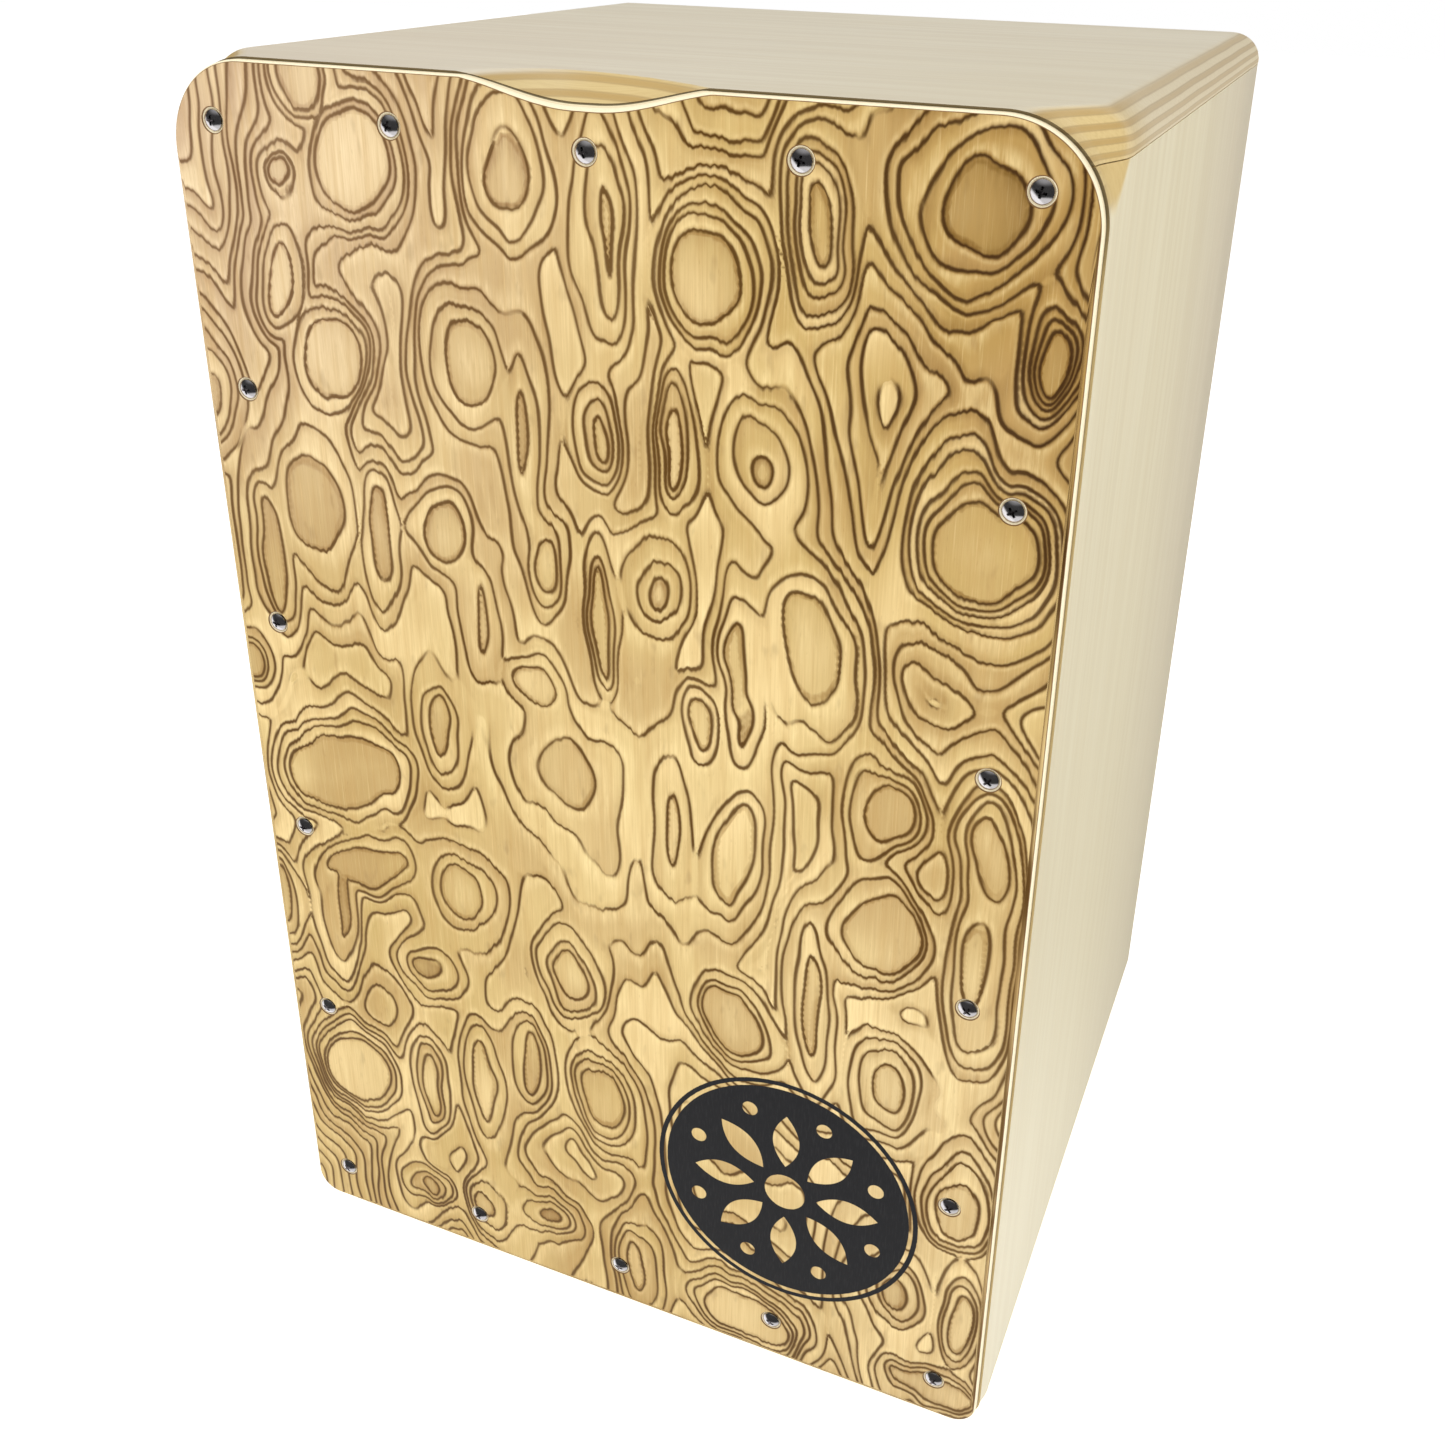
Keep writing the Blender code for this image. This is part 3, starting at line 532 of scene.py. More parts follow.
def value_noise(x, y, cell_x, cell_y, seed, octaves=1):
    """Smooth noise with cells of cell_x by cell_y mm, between -1 and 1."""
    total, weight, weights = np.zeros_like(x), 1.0, 0.0
    for octave in range(octaves):
        grid = np.random.default_rng(seed + 101 * octave).uniform(-1, 1, (96, 96))
        column, row = x / cell_x * 2**octave + 40, y / cell_y * 2**octave + 40
        left, top = np.floor(column).astype(int), np.floor(row).astype(int)
        across, down = (s**3 * (s * (s * 6 - 15) + 10) for s in (column - left, row - top))

        def blended(line):
            start, end = grid[line % 96, left % 96], grid[line % 96, (left + 1) % 96]
            return start * (1 - across) + end * across

        total += weight * (blended(top) * (1 - down) + blended(top + 1) * down)
        weights += weight
        weight *= 0.5
    return total / weights


def eye_level(across, down, core_w, core_h, ring_w, ring_h, rings):
    """Ring number at a place from an eye's centre.

    It is 0 on the core's outline, rings on the outermost ring, and grows on outwards.
    """
    step_w, step_h = (ring_w - core_w) / rings, (ring_h - core_h) / rings
    stretch = max(0.0, 2.0 * step_w - step_h)
    out = np.full_like(across, 40.0)
    near = np.abs(across) < ring_w + 16 * step_w
    near &= np.abs(down) < ring_h + 16 * max(step_h, 2.0 * step_w)
    across, down = across[near], down[near]

    def reach(level):
        width = core_w + level * step_w
        height = core_h + level * step_h + np.maximum(level - rings, 0) * stretch
        return np.sqrt((across / width) ** 2 + (down / height) ** 2) - 1

    low = np.full_like(across, -0.98 * min(core_w / step_w, core_h / step_h))
    high = np.full_like(across, 24.0)
    for _ in range(13):
        level = (low + high) / 2
        inside = reach(level) < 0
        high, low = np.where(inside, level, high), np.where(inside, low, level)
    at_low, at_high = reach(low), reach(high)
    level = low + (high - low) * at_low / np.maximum(at_low - at_high, 1e-9)
    out[near] = np.clip(level, low, high)
    return out


def figure(x, y):
    """(ring number, core darkness) at x mm across and y mm down.

    A dark line lies on each whole ring number.
    """
    warp_x = x + 2.6 * value_noise(x, y, 17, 34, 5, 2) + 0.8 * value_noise(x, y, 7, 12, 6)
    warp_y = y + 4.5 * value_noise(x, y, 16, 34, 7, 2) + 1.2 * value_noise(x, y, 7, 12, 8)
    levels, best, fill = [], np.full_like(x, 1e9), np.zeros_like(x)
    for centre_x, centre_y, core_w, core_h, ring_w, ring_h, rings, tilt, darkness in EYES:
        cos, sin = math.cos(math.radians(tilt)), math.sin(math.radians(tilt))
        across = (warp_x - centre_x) * cos + (warp_y - centre_y) * sin
        down = -(warp_x - centre_x) * sin + (warp_y - centre_y) * cos
        ring_w, ring_h = max(ring_w, core_w + 2), max(ring_h, core_h + 3)
        level = eye_level(across, down, core_w, core_h, ring_w, ring_h, rings)
        sunk = -0.35 - 0.45 * (1 - np.exp(np.minimum(level + 0.35, 0) * 0.6))
        level = np.where(level < -0.35, sunk, level)
        level = np.where(level > rings, rings + 0.88 * (level - rings), level)
        levels.append(level)
        best = np.minimum(best, level)
        fill = np.maximum(fill, darkness**0.65 * np.clip(-level * 6 + 0.4, 0, 1))
    total = sum(np.exp(-EYE_BLEND * (np.minimum(level, 30) - best)) for level in levels)
    ring = best - np.log(total) / EYE_BLEND
    ring = ring + 1.9 * value_noise(x, y, 24, 85, 11) * np.clip(ring / 2.5, 0, 1)
    ring = ring + 0.35 * value_noise(x, y, 9, 24, 23) * np.clip(ring, 0, 1)
    # rings gather in some places and spread in others
    gather = ring * 0.37 + 0.8 * value_noise(x, y, 40, 60, 77)
    return ring + 0.16 * np.sin(2 * np.pi * gather), fill


# printed roundel on the playing face, in mm
EMBLEM_X, EMBLEM_Z = 70.7, 97.4
RING_IN, RING_OUT, DISC_R, CORE_R = 49.9, 51.8, 48.4, 8.0
PETALS, PETAL_AT, PETAL_REACH, PETAL_HALF = 8, 24.5, 12.0, 5.2
DOT_AT, DOT_R = 38.0, 3.0
PRINT_EDGE = 0.14  # softness of the print's outlines


def roundel(graph):
    """1 on black print: a thin ring and a disc with a core, petals and dots left open."""
    x, _, z = graph.place
    across, up = x - EMBLEM_X, z - EMBLEM_Z
    wobble = (graph.noise(1.1, detail=1) - 0.5) * 0.22
    radius = graph.hypot(across, up) + wobble

    def within(value, limit):
        return value.step(limit - PRINT_EDGE, limit + PRINT_EDGE, 1.0, 0.0)

    ring = radius.step(RING_IN - PRINT_EDGE, RING_IN + PRINT_EDGE) * within(radius, RING_OUT)
    angle = graph.math("ARCTAN2", up, across)
    sector = 2 * math.pi / PETALS

    def folded(turn):
        """Places along and across the axis of the nearest of the equal sectors."""
        inside = (angle + turn) % sector - sector / 2
        return radius * graph.math("COSINE", inside), radius * graph.math("SINE", inside)

    outwards, sideways = folded(8 * math.pi + sector / 2)
    middle = (outwards - PETAL_AT) / PETAL_REACH
    lens = (1.0 - middle * middle) * PETAL_HALF
    petal = (lens - abs(sideways)).step(-PRINT_EDGE, PRINT_EDGE)
    outwards, sideways = folded(8 * math.pi)
    dots = within(graph.hypot(outwards - DOT_AT, sideways), DOT_R)
    bare = petal.max(within(radius, CORE_R)).max(dots)
    return ring.max(within(radius, DISC_R) * (1.0 - bare))


def ring_level(graph):
    """(ring number, its change per mm) of the veneer, with the lines made ragged by fibres."""
    ring, slope_z, slope = map(graph.attribute, ("ring", "ring_dz", "ring_slope"))
    # fibres shift the lines up and down, which shows only where a line runs across the grain
    coarse = graph.noise((3.0, 3.0, 19), detail=0) - 0.5
    small = graph.noise((1.3, 1.3, 11), detail=0, shift=(4, 8, 2)) - 0.5
    much = graph.noise((38, 38, 60), detail=1, shift=(9, 3, 6)).line(0.38, 0.64, 0.45, 1.5)
    jag = (coarse * 1.3 + small * 1.15) * much
    return ring + jag * slope_z.min(0.24).max(-0.24), slope.max(0.02)


def ring_marks(graph, level, slope, stroke):
    """(line, halo, crest): the dark lines, the wood darkening up to them, and the pale past them."""
    part = graph.math("FRACT", level)
    below, above = part / slope, (1.0 - part) / slope  # mm from the lines on either side
    width = graph.noise((14, 14, 30), shift=(2, 5, 1)).line(0.3, 0.7, 0.12, 0.44)
    sure = slope.step(0.03, 0.09)
    line = (below.min(above) - width).step(-0.16, 0.72, 1.0, 0.0) * sure
    # the late wood darkens towards one side of each line, in strokes along the grain
    reach = graph.noise((20, 20, 32)).line(0.3, 0.7, 1.5, 6.0).min(0.75 / slope)
    patchy = graph.noise((26, 26, 40), shift=(5, 5, 5)).line(0.32, 0.68, 0.30, 1.0)
    halo = (above / reach).step(0.0, 1.0, 1.0, 0.0) * sure * patchy
    halo = halo.clamped(stroke.line(0.25, 0.75, 0.55, 1.15))
    halo = halo.max(below.step(0.0, 1.9, 0.62, 0.0) * sure)
    halo = halo.clamped(level.step(-0.06, 0.04, 1.9, 1.0))
    crest = below.step(0.5, 1.5) * (below / (0.55 / slope)).step(0.25, 1.0, 1.0, 0.0)
    return line, halo, crest


def veneer_ground(graph, level, crest, fibre, stroke, painted_sheen, right):
    """Colour between the lines: pale and deeper areas, bands, vertical fibre and small flecks, over
    painted light: a painted sheen at the top left, painted shade on the upper right, and painted light
    low on the right and in the middle.
    """
    x, _, z = graph.place
    area = graph.noise((46, 46, 70), detail=3, rough=0.55, shift=(1, 2, 7))
    streak = graph.noise((2.6, 2.6, 48), rough=0.6, shift=(7, 7, 7))
    fleck = graph.noise((0.5, 0.5, 3.4), detail=1, shift=(3, 3, 3)).step(0.66, 0.8)
    smudge = graph.noise((5.5, 5.5, 13), shift=(8, 4, 2)).step(0.60, 0.76)
    # each band between two lines has its own tone, which drifts along the band
    band = graph.math("FLOOR", level) * 1.73
    drift = graph.make("ShaderNodeCombineXYZ", (x / 55.0, band, z / 85.0))
    own = graph.noise(1.0, detail=1, vector=drift, shift=(4.4, 2.2, 8.8))
    # masks of painted light: painted shade on the upper right (corner), painted light low on the right
    # (foot) and in the middle (glow)
    corner = x.step(60, 140) * z.step(340, 440)
    foot = x.step(10, 130) * z.step(290, 170)
    glow = abs(x - 20.0).step(120, 10) * abs(z - 235.0).step(170, 10)
    # each band colour has a copy for the painted sheen at the top left
    band_dark = graph.mix(painted_sheen, srgb(176, 142, 92), srgb(184, 154, 128))
    band_pale = graph.mix(painted_sheen, srgb(240, 214, 158), srgb(236, 214, 172))
    crest_pale = graph.mix(painted_sheen, srgb(248, 226, 168), srgb(248, 226, 188))
    return (
        graph.mix(area.step(0.34, 0.66), srgb(212, 186, 127), srgb(195, 167, 105))
        # painted sheen at the top left, painted shade on the right and upper right, painted light low
        # on the right and in the middle
        .tint(painted_sheen * 0.85, srgb(212, 187, 153))
        .tint(right * 0.6, srgb(190, 157, 88))
        .tint(corner * 0.75, srgb(162, 126, 62))
        .tint(foot * 0.55, srgb(226, 203, 156))
        .tint(glow * 0.5, srgb(230, 206, 149))
        .tint(own.step(0.50, 0.64, 0.0, 0.42), band_dark)
        .tint(own.step(0.48, 0.34, 0.0, 0.50), band_pale)
        .tint(crest * stroke.line(0.25, 0.75, 0.05, 0.50), crest_pale)
        .tint(streak.step(0.4, 0.72, 0.0, 0.30), srgb(188, 150, 88))
        .tint(fibre.step(0.42, 0.75, 0.0, 0.22), srgb(172, 134, 76))
        .tint(fibre.step(0.45, 0.22, 0.0, 0.30), srgb(244, 220, 164))
        .tint(smudge * 0.24, srgb(128, 96, 58))
        .tint(fleck * 0.20, srgb(136, 98, 52))
    )


def veneer():
    """Figured veneer with the printed roundel, driven by the face mesh's ring attributes."""
    graph = Material("figured_veneer")
    x, _, z = graph.place
    level, slope = ring_level(graph)
    stroke = graph.noise((1.1, 1.1, 9), rough=0.6, shift=(12, 4, 9))
    fibre = graph.noise((0.55, 0.55, 26), detail=3, rough=0.6)
    line, halo, crest = ring_marks(graph, level, slope, stroke)
    # painted light: the top left of the face is paler and pinker, a painted sheen, and the upper right
    # side deeper, painted shade
    painted_sheen = x.step(60, -140) * z.step(250, 470)
    right = x.step(10, 140) * z.step(260, 420)

    # each colour in three copies: the middle, the right side in painted shade and the top left in
    # painted sheen
    def by_area(middle, right_side, top_left):
        return graph.mix(painted_sheen, graph.mix(right, srgb(*middle), srgb(*right_side)), srgb(*top_left))

    shade = by_area((150, 112, 48), (122, 84, 24), (158, 120, 84))
    core_brown = by_area((134, 96, 42), (116, 85, 28), (150, 116, 86))
    ink = by_area((88, 56, 2), (64, 36, 0), (98, 64, 30))
    # where rings crowd together the wood between them is darker too
    crowd = slope.step(0.28, 0.75)
    # an eye's core is darkest along its rim and clears in streaks towards its middle
    core = graph.attribute("core_fill") * stroke.line(0.25, 0.75, 0.55, 1.0)
    core = core * level.step(-0.50, -0.06, 0.50, 1.35)
    strength = graph.noise((30, 30, 45), shift=(6, 1, 3)).line(0.3, 0.7, 0.86, 1.0)
    # the lines are fainter under the painted sheen
    strength = strength * painted_sheen.line(0, 1, 1.0, 0.86)
    black = roundel(graph)
    speck = graph.noise((0.6, 0.6, 5.0), rough=0.6)
    print_ink = graph.mix(speck.step(0.45, 0.75, 0.0, 0.5), srgb(29, 29, 32), srgb(47, 46, 48))
    colour = (
        veneer_ground(graph, level, crest, fibre, stroke, painted_sheen, right)
        # the halos are stronger on the right side, in painted shade
        .tint(halo * right.lerp(0.55, 0.80), shade)
        .tint(crowd * 0.40, shade)
        .tint(core.min(1.0), core_brown)
        .tint(line * strength, ink)
        .tint(black, print_ink)
    )
    height = fibre * 0.5 - line * 0.35 + black * 0.6
    graph.set(
        Base_Color=colour,
        Roughness=black.lerp(fibre.line(0.3, 0.7, 0.36, 0.48), 0.5),
        Specular_IOR_Level=0.18,
        Coat_Weight=black.lerp(0.08, 0.04),
        Coat_Roughness=0.22,
        Normal=graph.bump(height, strength=0.16, mm=0.08),
    )
    return graph.mat


def face_edge():
    """The playing face's edge: brown veneer line, pale core plies and a dark back layer, partly the
    rear ply's own colour and partly painted shadow of the gap behind it.
    """
    graph = Material("tapa_edge_plies")
    depth = graph.place[1] - FACE_FRONT / MM
    depth = depth + (graph.noise(9) - 0.5) * 0.16
    brown, cream, core = srgb(128, 92, 48), srgb(250, 238, 206), srgb(240, 224, 186)
    colour = (depth / (FACE_T / MM)).ramp([
        (0.0, brown), (0.065, brown), (0.085, cream), (0.40, cream), (0.44, core), (0.62, core),
        # from 0.76 on: the dark back layer, partly painted shadow of the gap behind the face
        (0.66, cream), (0.70, srgb(236, 220, 180)), (0.76, srgb(126, 112, 78)),
        (0.99, srgb(84, 72, 48)),
    ])
    grain = graph.noise((1.0, 0.5, 1.0), rough=0.6)
    graph.set(
        Base_Color=colour.tint(grain.step(0.45, 0.75, 0.0, 0.14), srgb(200, 170, 116)),
        Roughness=grain.lerp(0.42, 0.55),
        Normal=graph.bump(grain, strength=0.12, mm=0.06),
    )
    return graph.mat


def face_inside():
    """Plain upright-grained skin on the back of the playing face."""
    graph = Material("tapa_inner_skin")
    broad = graph.noise((6, 6, 140), detail=3, rough=0.55)
    fibre = graph.noise((0.6, 0.6, 24), rough=0.6)
    colour = graph.mix(broad.step(0.3, 0.7), srgb(206, 176, 130), srgb(182, 148, 102))
    graph.set(
        Base_Color=colour.tint(fibre.step(0.4, 0.75, 0.0, 0.35), srgb(140, 106, 66)),
        Roughness=fibre.lerp(0.52, 0.68),
        Normal=graph.bump(fibre, strength=0.2, mm=0.08),
    )
    return graph.mat


FACE_MATERIALS = (veneer(), face_edge(), face_inside())
VENEER_SLOT, EDGE_SLOT, INSIDE_SLOT = range(3)


# ------------------------------------------------------------------ mesh helpers
def from_bm(name, bm):
    bmesh.ops.recalc_face_normals(bm, faces=bm.faces)
    mesh = bpy.data.meshes.new(name)
    bm.to_mesh(mesh)
    bm.free()
    return mesh


def add(name, shape, material=None, smooth=None, place=None):
    """Object from a mesh or bmesh; smooth is the sharp-edge angle in degrees."""
    mesh = shape if isinstance(shape, bpy.types.Mesh) else from_bm(name, shape)
    obj = bpy.data.objects.new(name, mesh)
    scene.collection.objects.link(obj)
    if material is not None:
        mesh.materials.append(material)
    if smooth is not None:
        mesh.shade_smooth()
        mesh.set_sharp_from_angle(angle=math.radians(smooth))
    if place is not None:
        mesh.transform(place)
    return obj


def stand_for(obj, node, body="case"):
    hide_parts(node)
    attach(obj, body)


def carve(name, blank, *cutters):
    """Mesh of the blank less the cutters; all of them are removed."""
    for cutter in cutters:
        modifier = blank.modifiers.new("cut", "BOOLEAN")
        modifier.operation = "DIFFERENCE"
        modifier.solver = "EXACT"
        modifier.object = cutter
    bpy.context.view_layer.update()
    evaluated = blank.evaluated_get(bpy.context.evaluated_depsgraph_get())
    mesh = bpy.data.meshes.new_from_object(evaluated)
    mesh.name = name
    mesh.materials.clear()
    for obj in (blank, *cutters):
        bpy.data.objects.remove(obj, do_unlink=True)
    return mesh


def ring(bm, radii, z):
    """Vertices round Z, one for each radius."""
    turns = [2 * math.pi * k / len(radii) for k in range(len(radii))]
    return [bm.verts.new((r * math.cos(a), r * math.sin(a), z)) for r, a in zip(radii, turns)]


def bridge(bm, one, two):
    """Quads between two closed loops of vertices."""
    count = len(one)
    for k in range(count):
        bm.faces.new((one[k], one[(k + 1) % count], two[(k + 1) % count], two[k]))


def lathe(profile, steps, closed=False):
    """A closed shape turned about Z from (radius, height) points; points on the axis are shared."""
    bm = bmesh.new()
    columns = [
        [bm.verts.new((0, 0, z))] if r < 1e-9 else ring(bm, [r] * steps, z) for r, z in profile
    ]
    pairs = list(zip(columns, columns[1:])) + ([(columns[-1], columns[0])] if closed else [])
    for one, two in pairs:
        for k in range(steps):
            m = (k + 1) % steps
            corners = [one[k % len(one)], one[m % len(one)], two[m % len(two)], two[k % len(two)]]
            unique = [v for i, v in enumerate(corners) if v not in corners[:i]]
            if len(unique) > 2:
                bm.faces.new(unique)
    return bm


def loft(sections):
    """A closed solid through sections: outer and inner rows of (x, y, z), facing each other."""
    bm = bmesh.new()
    rows = [[[bm.verts.new(p) for p in row] for row in section] for section in sections]
    loops = [outer + inner[::-1] for outer, inner in rows]
    for one, two in zip(loops, loops[1:]):
        bridge(bm, one, two)
    for outer, inner in (rows[0], rows[-1]):
        for k in range(len(outer) - 1):
            bm.faces.new((outer[k], outer[k + 1], inner[k + 1], inner[k]))
    bmesh.ops.remove_doubles(bm, verts=bm.verts, dist=2e-6)
    return bm


def bevel(bm, edges, width, segments):
    bmesh.ops.bevel(
        bm, geom=edges, offset=width, offset_type="OFFSET", segments=segments,
        profile=0.5, affect="EDGES", clamp_overlap=False,
    )


# ------------------------------------------------------------------ shapes the panels share
def smoothstep(share):
    share = min(max(share, 0.0), 1.0)
    return share * share * (3 - 2 * share)


def scoop_depth(x, back):
    """Depth of the hand hollow below the seat, at a distance behind the box's front edges."""
    across = max(0.0, abs(x) - SCOOP_FLAT) / SCOOP_RUN[0 if x < 0 else 1]
    edge = math.cos(math.pi / 2 * across) ** 2 if across < 1 else 0.0
    share = min(max((x - SCOOP_LEFT) / (SCOOP_RIGHT - SCOOP_LEFT), 0.0), 1.0)
    reach = 56 * MM * math.sqrt(share) * (1 - share)
    run = (back + FACE_T) / (reach + FACE_T)
    return (SCOOP_DEPTH + SCOOP_MARGIN) * edge * (1 - run) - SCOOP_MARGIN


def corner_radius(back):
    """Radius of the body's top corners at a distance behind the box's front edges."""
    return BODY_R_TOP - (BODY_R_TOP - EDGE_R) * smoothstep(back / RELIEF_D)


def stations(front_steps, middle_steps, edge, edge_steps):
    """Section places from front to back, closing up round the rear edge's radius."""
    middle = BACK - edge - FRONT - FRONT_RUN
    places = [FRONT + FRONT_RUN * k / front_steps for k in range(front_steps + 1)]
    places += [FRONT + FRONT_RUN + middle * k / middle_steps for k in range(1, middle_steps + 1)]
    turns = [math.pi / 2 * k / edge_steps for k in range(1, edge_steps + 1)]
    return places + [BACK - edge + edge * math.sin(turn) for turn in turns]


# ------------------------------------------------------------------ the box panels
def seat_section(y):
    """Seat outline at y: rounded left and right edges, the hand hollow and the rear roundover."""
    back = y - FRONT
    radius = corner_radius(back)
    over = max(0.0, y - (BACK - EDGE_R))
    crest = SEAT - EDGE_R + math.sqrt(max(0.0, EDGE_R**2 - over**2))
    start = math.asin(min(1.0, max(-1.0, (crest - (SEAT - radius)) / radius)))
    end = math.asin((radius - SEAT_T) / radius) if radius > SEAT_T else 0.0
    start = max(start, end)
    right = []
    for k in range(25):
        turn = start + (end - start) * k / 24
        right.append((HALF - radius + radius * math.cos(turn), SEAT - radius + radius * math.sin(turn)))
    edge = right[0][0]
    points = [(-x, z) for x, z in reversed(right)]
    for k in range(1, 240):
        x = -edge + 2 * edge * k / 240
        points.append((x, min(crest, SEAT - max(0.0, scoop_depth(x, back)))))
    points += right
    outer = [(x, y, max(z, UNDER + 0.02 * MM)) for x, z in points]
    return outer, [(x, y, UNDER) for x, z in points]


def seat_panel():
    places = stations(54, 12, EDGE_R, 22)
    seat = add("seat_panel", loft([seat_section(y) for y in places]), SEAT_WOOD, smooth=32)
    stand_for(seat, "top_panel")


def side_section(y, side, inner, bottom, top):
    """Section of a side panel at y, from its bottom edge up round the shaped top corner."""
    back = y - FRONT
    radius = corner_radius(back)
    behind = max(0.0, y - (BACK - SIDE_EASE))
    eased = HALF - SIDE_EASE + math.sqrt(max(0.0, SIDE_EASE**2 - behind**2))
    points = []
    # the lower front corner is rounded off behind the playing face's own corner
    turned = 0.6 * MM + 9.2 * MM * (1 - smoothstep(back / (14 * MM)))
    for k in range(11):
        turn = math.pi / 2 * k / 10
        x = min(eased, HALF - turned + turned * math.sin(turn))
        points.append((x, bottom + turned - turned * math.cos(turn)))
    for k in range(1, 29):
        z = SEAT - BODY_R_TOP + (top - SEAT + BODY_R_TOP) * k / 28
        rise = z - (SEAT - radius)
        x = HALF
        if rise > 0:
            x = HALF - radius + math.sqrt(max(0.0, radius * radius - rise * rise))
        points.append((min(x, eased), z))
    return [(side * x, y, z) for x, z in points], [(side * inner, y, z) for x, z in points]


def side_panel(side, word):
    low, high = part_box("side_" + word)
    inner = min(abs(low.x), abs(high.x))
    places = stations(40, 6, SIDE_EASE, 5)
    sections = [side_section(y, side, inner, low.z, high.z) for y in places]
    panel = add("side_panel_" + word, loft(sections), SIDE_WOOD, smooth=32)
    stand_for(panel, "side_" + word)


def back_panel():
    """The back board, as loops round the sound port: its outer edge is rounded, its inner eased."""
    low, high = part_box("back_panel")

    def outline_point(angle):
        """Where a ray from the port's centre meets the panel's outline."""
        cos, sin = math.cos(angle), math.sin(angle)
        reach_x = (high.x if cos > 0 else low.x) / cos if abs(cos) > 1e-9 else 1e9
        reach_z = ((high.z if sin > 0 else low.z) - PORT_Z) / sin if abs(sin) > 1e-9 else 1e9
        reach = min(reach_x, reach_z)
        return cos * reach, PORT_Z + sin * reach

    angles = [2 * math.pi * k / PORT_STEPS for k in range(PORT_STEPS)]
    for x in (low.x, high.x):
        for z in (low.z, high.z):
            angles.append(math.atan2(z - PORT_Z, x) % (2 * math.pi))
    angles = sorted(set(round(a, 9) for a in angles))

    # (radius, y) of each loop; no radius means the panel's outline
    loops = [(None, high.y), (PORT_R + PORT_EDGE_R, high.y)]
    for k in range(1, 6):
        turn = math.pi / 2 * k / 5
        radius = PORT_R + PORT_EDGE_R * (1 - math.sin(turn))
        loops.append((radius, high.y - PORT_EDGE_R * (1 - math.cos(turn))))
    loops += [(PORT_R, low.y + 0.5 * MM), (PORT_R + 0.5 * MM, low.y), (None, low.y)]

    bm = bmesh.new()
    rows = []
    for radius, y in loops:
        row = []
        for a in angles:
            if radius is None:
                x, z = outline_point(a)
            else:
                x, z = radius * math.cos(a), PORT_Z + radius * math.sin(a)
            row.append(bm.verts.new((x, y, z)))
        rows.append(row)
    for one, two in zip(rows, rows[1:] + rows[:1]):
        bridge(bm, one, two)
    panel = add("back_board", bm, BACK_WOOD, smooth=32)
    stand_for(panel, "back_panel")


seat_panel()
side_panel(-1, "left")
side_panel(1, "right")
back_panel()

# ------------------------------------------------------------------ the playing face
SCREWS = [f"front_screw_{k:02d}" for k in range(1, 19)]
SCREW_AT = []  # (x, z) of each screw
for name in SCREWS:
    low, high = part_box(name)
    SCREW_AT.append(((low.x + high.x) / 2, (low.z + high.z) / 2))

FACE_INSET = 1.0  # mm, edge of the flat veneer
# Loops round the edge, from the veneer to the back: (inset mm, depth mm, material slot).
FACE_EDGE = [
    (0.90, 0.04, VENEER_SLOT), (0.74, 0.13, VENEER_SLOT), (0.62, 0.22, EDGE_SLOT),
    (0.50, 0.33, EDGE_SLOT), (0.24, 0.60, EDGE_SLOT), (0.08, 0.85, EDGE_SLOT),
    (0.0, 1.15, EDGE_SLOT), (0.0, 2.2, EDGE_SLOT), (0.0, 3.1, EDGE_SLOT),
    (0.0, 3.75, EDGE_SLOT), (0.2, 4.0, EDGE_SLOT),
]
SINK_MARGIN = 0.12 * MM  # widening of a countersink at the veneer
# Loops down a screw hole: (radius, depth).
SCREW_HOLE = [
    (SINK_R, 0.10 * MM), (SINK_R - 0.5 * MM, 0.55 * MM), (BORE_R, SINK_R - BORE_R), (BORE_R, FACE_T),
]


def face_outline(y, inset):
    """(x, z) points round the playing face at depth y, moved inwards by inset."""
    half, points = FACE_W / 2, []

    def arc(centre_x, centre_z, radius, start, steps):
        for k in range(steps + 1):
            a = math.radians(start + 90 * k / steps)
            points.append((centre_x + radius * math.cos(a), centre_z + radius * math.sin(a)))

    arc(-half + FACE_R_BOTTOM, BASE + FACE_R_BOTTOM, FACE_R_BOTTOM, 180, 12)
    arc(half - FACE_R_BOTTOM, BASE + FACE_R_BOTTOM, FACE_R_BOTTOM, 270, 12)
    arc(half - FACE_R_TOP, FACE_TOP - FACE_R_TOP, FACE_R_TOP, 0, 28)
    right, left = half - FACE_R_TOP, -half + FACE_R_TOP
    points += [(right + (left - right) * k / 190, FACE_TOP) for k in range(1, 190)]
    arc(-half + FACE_R_TOP, FACE_TOP - FACE_R_TOP, FACE_R_TOP, 90, 28)
    shaped = []
    for x, z in points:
        if z > FACE_TOP - 1e-9:
            z = min(z, SEAT - scoop_depth(x, y - FRONT))
        shaped.append((x, z))
    if not inset:
        return shaped
    moved = []
    for k, (x, z) in enumerate(shaped):
        (x1, z1), (x2, z2) = shaped[k - 1], shaped[(k + 1) % len(shaped)]
        run, rise = x2 - x1, z2 - z1
        size = math.hypot(run, rise)
        moved.append((x - rise / size * inset, z + run / size * inset))
    return moved


def hole_circle(x, z, radius):
    turns = [2 * math.pi * k / HOLE_STEPS for k in range(HOLE_STEPS)]
    return [(x + radius * math.cos(a), z + radius * math.sin(a)) for a in turns]


def inside_outline(points, outline):
    """Which points lie inside a closed outline, by an even-odd count."""
    x, z = points[:, 0], points[:, 1]
    inside = np.zeros(len(points), bool)
    for (x1, z1), (x2, z2) in zip(outline, outline[1:] + outline[:1]):
        crosses = (z1 > z) != (z2 > z)
        with np.errstate(divide="ignore", invalid="ignore"):
            at = (x2 - x1) * (z - z1) / (z2 - z1) + x1
        inside ^= crosses & (x < at)
    return inside


